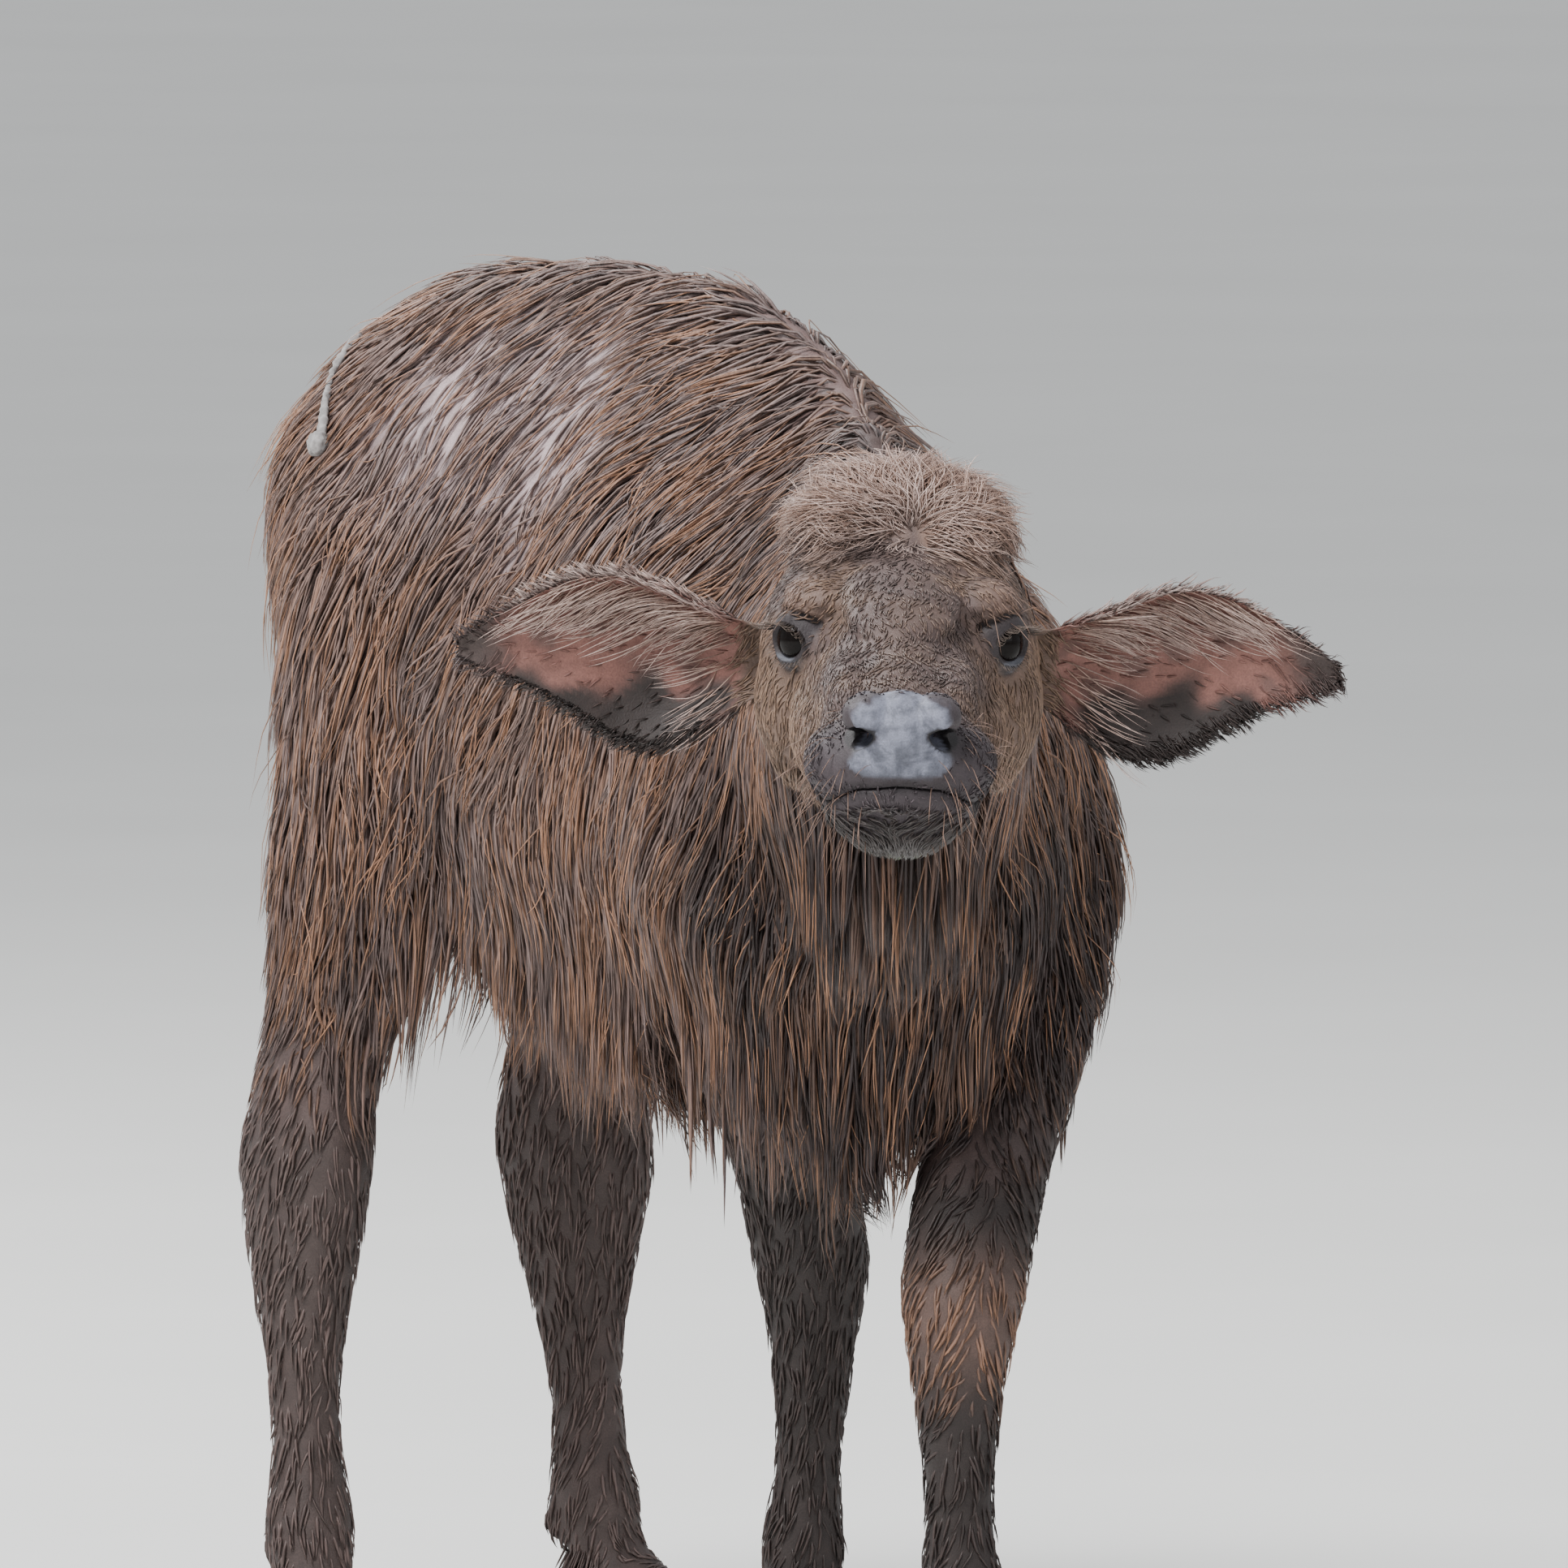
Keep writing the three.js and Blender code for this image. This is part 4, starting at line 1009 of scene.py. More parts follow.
    def carve(self, mesh: bpy.types.Mesh) -> None:
        """Works folds, the nose pad and lips into the head's surface."""
        p, n = points_of(mesh), normals_of(mesh)
        h = to_head(p)
        f, l, u = h.T
        on_head = (f > -110) & (np.abs(l) < 92) & (np.abs(u) < 130)
        eye = eye_view(h)
        ring = np.hypot(eye[:, 1] / 17.5, eye[:, 2] / 13.0)
        near = bump01((40 - np.linalg.norm(eye, axis=1)) / 10)
        above, below = bump01((eye[:, 2] + 3) / 6), bump01((-2 - eye[:, 2]) / 6)
        fold = 0.8 * np.exp(-(((ring - 1.15) / 0.12) ** 2)) - 1.5 * np.exp(-(((ring - 1.42) / 0.09) ** 2))
        fold += 1.0 * np.exp(-(((ring - 1.66) / 0.14) ** 2)) - 1.0 * np.exp(-(((ring - 1.95) / 0.10) ** 2))
        under = 0.9 * np.exp(-(((ring - 1.1) / 0.1) ** 2)) - 1.5 * np.exp(-(((ring - 1.38) / 0.12) ** 2))
        move = near * (above * fold + below * under)
        pad = nose_pad(h)
        move += 2.4 * pad + 0.35 * pad * ripple(h, 9, 41)
        move -= 1.3 * pad * np.exp(-((l / 1.6) ** 2)) * bump01((-2 - u) / 8)
        front = bump01((f - 150) / 25)
        line = u - mouth_line(l)
        move += front * (1.6 * np.exp(-(((line + 9) / 5.5) ** 2)) - 1.5 * np.exp(-((line / 3.0) ** 2)))
        wrinkle = np.sin((f - 0.5 * np.abs(l) + 3 * ripple(h, 40, 43)) / 2.6)
        move += 0.3 * wrinkle * bump01((f - 150) / 20) * bump01((u + 8) / 10) * (1 - pad)
        move += 0.5 * ripple(p, 26, 45) * bump01((190 - f) / 20)
        set_points(mesh, p + n * (move * on_head)[:, None])

    def soften_seams(self, obj: bpy.types.Object) -> None:
        """Smooths where the neck and ears grow out of the head."""
        h = to_head(points_of(obj.data))
        f, l, u = h.T
        neck = bump01((-84 - f) / 16) * bump01((f + 175) / 25) * (np.abs(l) < 118)
        ears = bump01(1 - np.abs(np.abs(l) - 82) / 16) * (f < -10) * (f > -100) * (np.abs(u + 36) < 60)
        weight = np.maximum(neck, 0.9 * ears)
        group = obj.vertex_groups.new(name="seam")
        for level in np.linspace(0.1, 1, 10):
            members = np.nonzero(np.abs(weight - level) <= 0.05)[0].tolist()
            group.add(members, float(level), "REPLACE")
        smooth = obj.modifiers.new("seam", "SMOOTH")
        smooth.vertex_group = "seam"
        smooth.iterations = 14
        smooth.factor = 0.7
        applied(obj)
        obj.vertex_groups.clear()

    def paint(self, mesh: bpy.types.Mesh) -> None:
        """Gives the hide its markings, with painted shade and a painted reflection, and its unwrap."""
        p, n = points_of(mesh), normals_of(mesh)
        counts = column(mesh.polygons, "loop_total", 1, np.int32)
        centre = column(mesh.polygons, "center", 3, np.float32)
        facing = column(mesh.polygons, "normal", 3, np.float32)
        corner = column(mesh.loops, "vertex_index", 1, np.int32)
        anchor = np.repeat((centre - OFFSET) * 1000, counts, axis=0)
        uv = unwrap(p[corner], anchor, np.repeat(facing, counts, axis=0))
        set_layers(mesh, hide_colors(p, n), uv)

    def build(self, finish: bpy.types.Material) -> bpy.types.Object:
        """Models, joins, carves and paints the hide.

        Args:
            finish: Material of the hide.

        Returns:
            The finished piece.
        """
        head = self.head()
        for side in (-1, 1):
            boolean(head, self.ear(side), "UNION")
        obj = boolean(self.body(), head, "UNION")
        obj.name = "hide"
        self.soften_seams(obj)
        self.carve(obj.data)
        boolean(obj, self.mouth_cutter(), "DIFFERENCE")
        for side in (-1, 1):
            boolean(obj, self.opening_cutter(side), "DIFFERENCE")
        self.paint(obj.data)
        obj.data.materials.clear()
        obj.data.materials.append(finish)
        obj.data.shade_smooth()
        return obj


@dataclass(frozen=True)
class TuftStyle:
    """How one kind of tuft grows.

    Lengths and heights are in millimetres. Clump says how far the tips of one lock draw together.
    """

    name: str
    count: int
    length: float
    width: float
    lift: float
    segments: int = 4
    clump: float = 0.7
    per_clump: int = 8
    spread: float = 0.25
    droop: float = 0.0
    cling: float = 0.5
    slot: Slot = Slot.COAT


@dataclass
class Strands:
    """Paths of tufts: points, outward directions, half widths and colours."""

    path: np.ndarray
    out: np.ndarray
    half: np.ndarray
    root: np.ndarray
    tip: np.ndarray
    facing: np.ndarray

    def at(self, pick: np.ndarray) -> "Strands":
        """The picked tufts alone."""
        kept = (self.path, self.out, self.half, self.root, self.tip, self.facing)
        return Strands(*(values[pick] for values in kept))


class Hide:
    """The skin's surface as the coat's combs read it."""

    def __init__(self, obj: bpy.types.Object) -> None:
        """Reads the mesh of the finished skin."""
        mesh = obj.data
        mesh.calc_loop_triangles()
        self.tris = column(mesh.loop_triangles, "vertices", 3, np.int32)
        self.p, self.n = points_of(mesh), normals_of(mesh)
        a, b, c = (self.p[self.tris[:, k]] for k in range(3))
        cross = np.cross(b - a, c - a)
        self.area = np.linalg.norm(cross, axis=1) / 2
        self.centre = (a + b + c) / 3
        self.facing = unit(cross)
        self.tree = BVHTree.FromPolygons(self.p.tolist(), self.tris.tolist())

    def scatter(self, count: int, weight: np.ndarray) -> tuple[np.ndarray, np.ndarray]:
        """Draws roots over the surface.

        Args:
            count: Number of roots.
            weight: Relative density on each triangle.

        Returns:
            The roots and the normals there.
        """
        share = np.cumsum(self.area * weight)
        pick = np.searchsorted(share / share[-1], (np.arange(count) + RNG.random(count)) / count)
        pick = np.minimum(pick, len(self.tris) - 1)
        u, v = RNG.random((2, count, 1))
        flip = u + v > 1
        u, v = np.where(flip, 1 - u, u), np.where(flip, 1 - v, v)
        corners = self.tris[pick]
        place = [1 - u - v, u, v]
        p = sum(self.p[corners[:, k]] * place[k] for k in range(3))
        n = sum(self.n[corners[:, k]] * place[k] for k in range(3))
        return p, unit(n)

    def nearest(self, p: np.ndarray, near: float = 400.0) -> tuple[np.ndarray, np.ndarray]:
        """The nearest points of the skin and the normals there."""
        spots, normals = np.array(p), np.tile(UP, (len(p), 1))
        find = self.tree.find_nearest
        for i, q in enumerate(p.tolist()):
            spot, normal, _, _ = find(q, near)
            if spot is not None:
                spots[i], normals[i] = spot, normal
        return spots, normals

    def comb(
        self,
        style: TuftStyle,
        p: np.ndarray,
        n: np.ndarray,
        flow: Flow,
        length: np.ndarray,
    ) -> tuple[np.ndarray, np.ndarray]:
        """Grows paths along the hair's lie.

        Args:
            style: The kind of tuft.
            p: Roots.
            n: Normals at the roots.
            flow: Gives the lie at points with normals.
            length: Length of each tuft.

        Returns:
            The paths, and the outward direction at each of their points.
        """
        count, steps = len(p), style.segments
        step = (length / steps)[:, None]
        turn = RNG.normal(0, style.spread, (count, 1))
        stature = np.clip((length / style.length) ** 2, 0.2, 1.2)[:, None]
        lift = style.lift * RNG.uniform(0.35, 1.25, (count, 1)) * stature
        path, outs = [p - n * 1.2], [n]
        spot, normal, at = p, n, p
        for k in range(1, steps + 1):
            reach = k / steps
            way = flow(at, normal)
            free = bump01((dot(at - spot, normal)[:, 0] - 9) / 14)[:, None]
            level = unit(way - normal * dot(way, normal))
            level = unit(level + turn * np.cross(normal, level))
            hang = unit(way - UP * style.droop)
            heading = unit(level * (1 - free) + hang * free)
            steep = np.clip((-normal[:, 2:3] - 0.15) / 0.5, 0, 1) * min(style.droop, 1)
            heading = unit(heading * (1 - steep) - UP * steep)
            at = at + heading * step
            spot, normal = self.nearest(at)
            height = dot(at - spot, normal)
            want = lift * reach**0.8 + 0.3
            low = np.maximum(want - height, 0)
            high = np.maximum(height - want, 0) * style.cling * (1 - steep)
            at = at + normal * (low - high)
            path.append(at)
            outs.append(normal)
        return np.stack(path, 1), np.stack(outs, 1)


def clumped(path: np.ndarray, style: TuftStyle) -> np.ndarray:
    """Draws the tips of neighbouring tufts together into wet locks."""
    count = len(path)
    if style.clump <= 0 or count < 2 * style.per_clump:
        return path
    leaders = RNG.permutation(count)[: max(count // style.per_clump, 1)]
    tree = KDTree(len(leaders))
    for place, i in enumerate(leaders):
        tree.insert(path[i, 1], place)
    tree.balance()
    lead = np.array([leaders[tree.find(q)[1]] for q in path[:, 1].tolist()])
    steps = path.shape[1]
    pull = style.clump * (np.arange(steps) / (steps - 1)) ** 1.4
    pull = pull[None, :, None] * RNG.uniform(0.55, 1.1, (count, 1, 1)).clip(0, 1)
    goal = path[lead] + (path - path[lead])[:, 1:2] * 0.12
    return path * (1 - pull) + goal * pull


PATCH_HALF = 0.0015  # half the width of a tuft's patch of the unwrap
MAX_TRIANGLES = 190000  # in one piece of coat
SWELLS = {
    3: np.array([0.75, 1.0, 0.7]),
    4: np.array([0.7, 1.0, 0.9, 0.55]),
    5: np.array([0.7, 1.0, 0.95, 0.75, 0.45]),
    6: np.array([0.7, 1.0, 1.0, 0.85, 0.65, 0.4]),
}


def tuft_mesh(strands: Strands, name: str) -> bpy.types.Mesh:
    """Makes closed, tapered, three-sided tufts, each with its patch of the unwrap.

    Args:
        strands: Paths and colours.
        name: Name of the mesh.

    Returns:
        The mesh.
    """
    path, out = strands.path, strands.out
    count, steps = path.shape[0], path.shape[1] - 1
    ahead = unit(np.gradient(path, axis=1))
    side = unit(np.cross(ahead, out))
    top = unit(np.cross(side, ahead))
    half = strands.half[:, None] * SWELLS[steps][None, :]
    ring = path[:, :steps]
    s, t, w = side[:, :steps], top[:, :steps], half[:, :, None]
    verts = np.stack([ring + s * w - t * w * 0.25, ring + t * w * 0.55, ring - s * w - t * w * 0.25], axis=2)
    verts = np.concatenate([verts.reshape(count, steps * 3, 3), path[:, steps:]], axis=1)
    faces = [[0, 2, 1]]
    for k in range(steps - 1):
        for j in range(3):
            a, b = 3 * k + j, 3 * k + (j + 1) % 3
            faces.append([a, b, b + 3, a + 3])
    last = 3 * (steps - 1)
    for j in range(3):
        faces.append([last + j, last + (j + 1) % 3, 3 * steps])
    size = 3 * steps + 1
    pattern = np.concatenate([np.array(f) for f in faces])
    totals = np.array([len(f) for f in faces], np.int32)
    corners = (np.arange(count)[:, None] * size + pattern[None, :]).astype(np.int32).ravel()
    mesh = bpy.data.meshes.new(name)
    mesh.vertices.add(count * size)
    mesh.vertices.foreach_set("co", to_row(verts.reshape(-1, 3)).astype(np.float32).ravel())
    mesh.loops.add(len(corners))
    mesh.loops.foreach_set("vertex_index", corners)
    mesh.polygons.add(count * len(faces))
    loop_totals = np.tile(totals, count)
    starts = np.concatenate([[0], np.cumsum(loop_totals)[:-1]]).astype(np.int32)
    mesh.polygons.foreach_set("loop_start", starts)
    mesh.polygons.foreach_set("loop_total", loop_totals)
    mesh.update(calc_edges=True)
    reach = np.append(np.repeat(np.arange(steps), 3), steps) / steps
    share = (reach[None, :] ** 1.1)[:, :, None]
    color = strands.root[:, None] * (1 - share) + strands.tip[:, None] * share
    place = unwrap(path[:, 0], path[:, 0], strands.facing)
    around = np.append(np.tile([-1.0, 0.0, 1.0], steps), 0.0)
    patch = np.column_stack([around, reach * 2 - 1]) * PATCH_HALF
    uv = (place[:, None, :] + patch[None, pattern, :]).clip(0.0005, 0.9995)
    set_layers(mesh, color.reshape(-1, 3), uv)
    mesh.shade_smooth()
    return mesh


def body_flow(p: np.ndarray, n: np.ndarray) -> np.ndarray:
    """The lie of the hair on trunk, neck and legs."""
    swirl = ripple(p, 210, 51)[:, None]
    wave = ripple(p, 75, 53)[:, None]
    way = -UP + np.array([0.0, 0.30, 0.0]) + swirl * [0.05, 0.32, 0.0] + wave * [0.0, 0.14, 0.0]
    ridge_y, ridge_x = [-450, -404, -352, -290, -170, 0], [-196, -164, -128, -90, -28, -2]
    ridge = np.interp(p[:, 1], ridge_y, ridge_x)
    side = np.clip((p[:, 0] - ridge) / 75, -1, 1)[:, None]
    top = bump01((n[:, 2] - 0.35) / 0.5)[:, None]
    nape = bump01((-200 - p[:, 1]) / 100)[:, None]
    way = way + top * (side * [0.75, 0.0, 0.0] + [0.0, 0.8, 0.0] + nape * [0.6, 0.5, 0.0])
    rear = bump01((p[:, 1] - 300) / 80)[:, None]
    return unit(way * (1 - 0.5 * rear) - UP * 0.5 * rear)


WHORL = np.array([-44.0, 9.0, 54.0])


def head_flow(p: np.ndarray, n: np.ndarray) -> np.ndarray:
    """The lie of the hair on the head: away from the whorl on the forehead, and down the throat."""
    h = to_head(p)
    way = unit(h - WHORL)
    way = way + ripple(p, 34, 57)[:, None] * np.cross(to_head(n + EYE_MIDPOINT), way) * 0.4
    eye = eye_view(h)
    near = bump01((34 - np.linalg.norm(eye, axis=1)) / 14)[:, None]
    back = np.array([-0.6, 0.0, 0.1]) * near
    low = bump01((-50 - h[:, 2]) / 25)[:, None]
    down = np.array([-0.35, 0.0, -0.9]) * low
    return unit((way * (1 - 0.7 * low) + back + down) @ HEAD_AXES)


def ear_flow(p: np.ndarray, n: np.ndarray) -> np.ndarray:
    """The lie of the hair on the ears: out towards the tip and off the rims."""
    h = to_head(p)
    side = np.sign(h[:, 1])
    middle, _ = ear_outline(np.abs(h[:, 1]))
    lift = np.clip((h[:, 2] - middle) / 40, -1, 1)
    return unit(np.column_stack([0 * side + 0.1, side, 0.75 * lift]) @ HEAD_AXES)


def tail_flow(p: np.ndarray, n: np.ndarray) -> np.ndarray:
    """The lie of the hair on the tail: straight down."""
    return np.tile(-UP, (len(p), 1))


def switch_flow(p: np.ndarray, n: np.ndarray) -> np.ndarray:
    """The lie of the switch: down, in a slow wave."""
    return unit(-UP + 0.12 * ripple(p, 60, 71)[:, None] * [1, 0.5, 0])


@dataclass
class Coat:
    """All the tufts of the calf."""

    hide: Hide
    finish: bpy.types.Material

    def emit(self, strands: Strands, style: TuftStyle) -> None:
        """Adds tufts to the scene in pieces of under 200 thousand triangles."""
        per_tuft = 6 * (strands.path.shape[1] - 1) - 2
        order = np.argsort(strands.path[:, 0] @ np.array([0.3, 1.0, 0.2]), kind="stable")
        parts = max(math.ceil(len(order) / (MAX_TRIANGLES // per_tuft)), 1)
        for number, pick in enumerate(np.array_split(order, parts)):
            name = f"{style.name}_{number + 1}" if parts > 1 else style.name
            obj = link(tuft_mesh(strands.at(pick), name), name)
            obj.data.materials.append(self.finish)
            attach(obj, "root")
            log.info("%s: %d tufts", name, len(pick))

    def strands(
        self,
        style: TuftStyle,
        p: np.ndarray,
        n: np.ndarray,
        flow: Flow,
        length: np.ndarray,
        colors: tuple[np.ndarray, np.ndarray],
    ) -> Strands:
        """Combs, clumps and colours one set of tufts."""
        length = length * RNG.uniform(0.7, 1.2, len(p))
        path, out = self.hide.comb(style, p, n, flow, length)
        path = clumped(path, style)
        half = style.width / 2 * RNG.uniform(0.65, 1.25, len(p))
        shade = RNG.uniform(0.68, 1.3, (len(p), 1))
        return Strands(path, out, half, colors[0] * shade, colors[1] * shade, n)

    def grow(
        self,
        style: TuftStyle,
        p: np.ndarray,
        n: np.ndarray,
        flow: Flow,
        length: np.ndarray,
        colors: tuple[np.ndarray, np.ndarray],
    ) -> None:
        """Adds one set of tufts, combed along the flow.

        Args:
            style: The kind of tuft.
            p: Roots.
            n: Normals at the roots.
            flow: Gives the lie at points with normals.
            length: Length of each tuft.
            colors: Colours of the tufts' roots and of their tips.
        """
        self.emit(self.strands(style, p, n, flow, length, colors), style)

    def body(self) -> None:
        """The long coat of trunk and neck, its hanging locks and wisps, and the short hair of the legs."""
        hide, c = self.hide, self.hide.centre
        h = to_head(c)
        off_head = (h[:, 0] < -104) | (np.abs(h[:, 2]) > 120) | (np.abs(h[:, 1]) > 120)
        on_body = off_head & (ear_share(c) < 0.1)
        tail = (c[:, 1] > 404) & (c[:, 2] < 790)
        coloring = body_coloring(c)
        off_leg = leg_distances(c).min(1)
        long_haired = np.maximum(bump01((c[:, 2] - 385) / 80), 1.0 * (off_leg > 80))
        long_haired = on_body * ~tail * long_haired
        style = TuftStyle(
            "coat_body", 31000, length=72, width=2.8, lift=11,
            segments=4, clump=0.8, per_clump=10, spread=0.2, droop=1.0, cling=0.55,
        )
        p, n = hide.scatter(style.count, coloring.density * long_haired)
        look = body_coloring(p)
        self.grow(style, p, n, body_flow, style.length * look.length, (look.root, look.tip))
        under = bump01((-hide.facing[:, 2] - 0.05) / 0.4)
        under = under + 0.6 * bump01((-230 - c[:, 1]) / 60) * (c[:, 2] < 560)
        under = under * long_haired * (off_leg > 30)
        style = TuftStyle(
            "coat_hanging", 3600, length=92, width=3.0, lift=9,
            segments=5, clump=0.85, per_clump=9, spread=0.12, droop=1.4, cling=0.2,
        )
        p, n = hide.scatter(style.count, under + 0.02 * long_haired)
        look = body_coloring(p)
        tip = mix(look.tip, ORANGE, 0.35 * bump01(ripple(p, 24, 63) / 0.5))
        reach = style.length * (0.55 + 0.6 * bump01((p[:, 2] - 350) / 60)) * (0.75 + 0.4 * ripple(p, 34, 61))
        reach = reach * (0.3 + 0.7 * bump01((-96 - to_head(p)[:, 0]) / 110))
        self.grow(style, p, n, body_flow, reach, (look.root, tip))
        style = TuftStyle(
            "coat_wisps", 2600, length=86, width=1.5, lift=19,
            segments=5, clump=0.75, per_clump=6, spread=0.5, droop=1.0, cling=0.15,
        )
        p, n = hide.scatter(style.count, (0.4 + coloring.density) * long_haired)
        look = body_coloring(p)
        pale = np.tile(ORANGE * 1.3, (len(p), 1))
        self.grow(style, p, n, body_flow, style.length * look.length, (look.root, pale))
        style = TuftStyle(
            "coat_legs", 8600, length=32, width=2.5, lift=4.0,
            segments=3, clump=0.55, per_clump=7, spread=0.2, droop=0.6, cling=0.8,
        )
        low = (c[:, 2] <= 500) * (c[:, 2] > 44) * (1 - 0.6 * bump01((c[:, 2] - 400) / 80))
        p, n = hide.scatter(style.count, on_body * ~tail * low)
        look = body_coloring(p)
        reach = style.length * np.clip(look.length * 2.4, 0.45, 1.6)
        self.grow(style, p, n, body_flow, reach, (look.root, look.tip))

    def coronets(self) -> None:
        """The fringe of hair that hangs over the top of the claws."""
        hide, c = self.hide, self.hide.centre
        style = TuftStyle(
            "coat_coronets", 1500, length=20, width=2.0, lift=6.0,
            segments=3, clump=0.4, per_clump=5, spread=0.2, droop=1.0, cling=0.0,
        )
        p, n = hide.scatter(style.count, (c[:, 2] < 62) * (hide.facing[:, 2] > -0.6) * 1.0)
        look = body_coloring(p)
        way = unit(n * [1.0, 1.0, 0.0] + [1e-6, 0, 0])
        step = unit(0.55 * way - UP) * (19.0 / 3)
        path = [p - n]
        for _ in range(3):
            path.append(path[-1] + step)
        strands = Strands(
            np.stack(path, 1),
            np.repeat(way[:, None], 4, axis=1),
            style.width / 2 * RNG.uniform(0.7, 1.2, len(p)),
            look.root * 0.9,
            look.tip,
            n,
        )
        self.emit(strands, style)

    def head(self) -> None:
        """The short hair of the face, the fluffy crown, lashes and whiskers."""
        hide, c = self.hide, self.hide.centre
        h = to_head(c)
        on_head = (h[:, 0] > -122) & (np.abs(h[:, 1]) < 100) & (np.abs(h[:, 2]) < 128) & (ear_share(c) < 0.6)
        look = head_coloring(c)
        style = TuftStyle(
            "coat_face", 14500, length=60, width=1.3, lift=3.4,
            segments=3, clump=0.45, per_clump=6, spread=0.35, droop=0.5, cling=0.6,
        )
        density = look.density * on_head * (1 + 0.7 * bump01((h[:, 0] - 60) / 80)) * (mouth_depth(h) < 0.5)
        p, n = hide.scatter(style.count, density)
        look = head_coloring(p)
        self.grow(style, p, n, head_flow, style.length * look.length, (look.root, look.tip))
        crown = bump01((h[:, 2] - 34 - 0.3 * (h[:, 0] + 60)) / 18) * bump01((6 - h[:, 0]) / 26) * on_head
        style = TuftStyle(
            "coat_crown", 4500, length=40, width=0.85, lift=15,
            segments=5, clump=0.75, per_clump=6, spread=0.75, droop=0.2, cling=0.1,
        )
        p, n = hide.scatter(style.count, crown)
        look = head_coloring(p)
        self.grow(style, p, n, head_flow, 19 + 26 * self.poll(p), (look.root, look.tip))
        self.lashes()
        self.whiskers()

    def poll(self, p: np.ndarray) -> np.ndarray:
        """1 on top of the poll, where the crown's hair is longest, falling to 0 at its sides."""
        h = to_head(p)
        return bump01((-28 - h[:, 0]) / 40) * bump01(1.3 - np.abs(h[:, 1]) / 70)

    def lashes(self) -> None:
        """Long lashes on the upper lids and a few short ones on the lower."""
        paths, outs = [], []
        for side in (-1, 1):
            centre, axes = eye_frame(side)
            for upper, count, reach in ((1, 46, 15.0), (-1, 16, 7.0)):
                for a in np.linspace(0.12, 0.88, count) * math.pi + RNG.normal(0, 0.03, count):
                    x, y = 14.4 * math.cos(a), upper * 12.2 * math.sin(a)
                    z = math.sqrt(18.6**2 - x * x - y * y)
                    root = centre + axes[0] * z + axes[1] * x + axes[2] * y
                    way = unit(axes[0] * 0.9 + axes[1] * (0.045 * x) + axes[2] * (0.10 * upper))
                    long = reach * RNG.uniform(0.7, 1.2)
                    bend = [0.0, 0.35, 0.7, 1.0]
                    sag = [0.0, -0.12, -0.12, 0.02] if upper > 0 else [0.0, -0.1, -0.25, -0.4]
                    paths.append([root + way * long * b + axes[2] * long * s for b, s in zip(bend, sag)])
                    outs.append([axes[2]] * 4)
        path, out = np.array(paths), np.array(outs)
        many = len(path)
        dark = np.tile([0.03, 0.025, 0.025], (many, 1))
        pale = np.tile([0.22, 0.17, 0.14], (many, 1))
        strands = Strands(path, out, np.full(many, 0.42), dark, pale, out[:, 0])
        self.emit(strands, TuftStyle("lashes", many, length=14, width=0.8, lift=0, segments=3, clump=0))

    def whiskers(self) -> None:
        """Long sparse hairs round the lips, chin and brows."""
        h = to_head(self.hide.centre)
        f, l, u = h.T
        lips = bump01((f - 140) / 30) * bump01((8 - u) / 20) * bump01((np.abs(l) - 10) / 25)
        brows = 0.8 * blob(np.column_stack([f, np.abs(l), u]), (0, 62, 26), (30, 18, 14))
        p, n = self.hide.scatter(170, (lips + brows) * (mouth_depth(h) < 0.5) * (np.abs(u) < 100))
        long = RNG.uniform(14, 30, (len(p), 1))
        way = unit(0.8 * n + 0.3 * FORWARD - 0.45 * UP + RNG.normal(0, 0.22, n.shape))
        path = np.stack([p + way * long * t - UP * long * 0.35 * t * t for t in (0.0, 0.35, 0.7, 1.0)], 1)
        out = np.repeat(np.cross(way, np.cross(UP, way))[:, None], 4, axis=1)
        pale = np.tile(TAN * 0.8, (len(p), 1))
        strands = Strands(path, out, np.full(len(p), 0.33), pale * 0.4, pale, n)
        self.emit(strands, TuftStyle("whiskers", len(p), length=30, width=0.7, lift=0, segments=3, clump=0))

    def ears(self) -> None:
        """Short hair outside, a fringe on the rims and long hairs across the cups."""
        hide, c = self.hide, self.hide.centre
        share = ear_share(c)
        inner = hide.facing @ FORWARD > 0.1
        h = to_head(c)
        out = np.abs(h[:, 1])
        middle, half = ear_outline(out)
        place = (h[:, 2] - middle) / half
        style = TuftStyle(
            "ear_hair", 5200, length=11, width=1.3, lift=2.2,
            segments=3, clump=0.4, per_clump=5, spread=0.3, droop=0.2, cling=0.7, slot=Slot.EAR,
        )
        p, n = hide.scatter(style.count, share * np.where(inner, 0.07, 1.0))
        self.grow(style, p, n, ear_flow, np.full(len(p), 11.0), self.ear_tints(p, n))
        rim = share * (bump01((np.abs(place) - 0.86) / 0.1) + 0.15 * bump01((out - 215) / 30))
        style = TuftStyle(
            "ear_fringe", 1900, length=17, width=1.0, lift=6.0,
            segments=4, clump=0.5, per_clump=5, spread=0.25, droop=0.1, cling=0.0, slot=Slot.EAR,
        )
        p, n = hide.scatter(style.count, rim)
        self.grow(style, p, n, self.fringe_flow, np.full(len(p), 16.0), self.ear_tints(p, n))
        upper = share * inner * bump01((place - 0.25) / 0.4)
        upper = upper * bump01((out - 96) / 10) * bump01((232 - out) / 40)
        root = share * inner * bump01((122 - out) / 16) * 0.45
        style = TuftStyle(
            "ear_long_hair", 560, length=52, width=0.75, lift=8.0,
            segments=6, clump=0.8, per_clump=7, spread=0.25, droop=0.3, cling=0.3, slot=Slot.EAR,
        )
        p, n = hide.scatter(style.count, upper + root)
        pale = np.tile(PALE_TAN * 0.95, (len(p), 1))
        colors = (np.tile(TAN * 0.7, (len(p), 1)), pale)
        self.grow(style, p, n, self.sweep_flow, np.full(len(p), 46.0), colors)

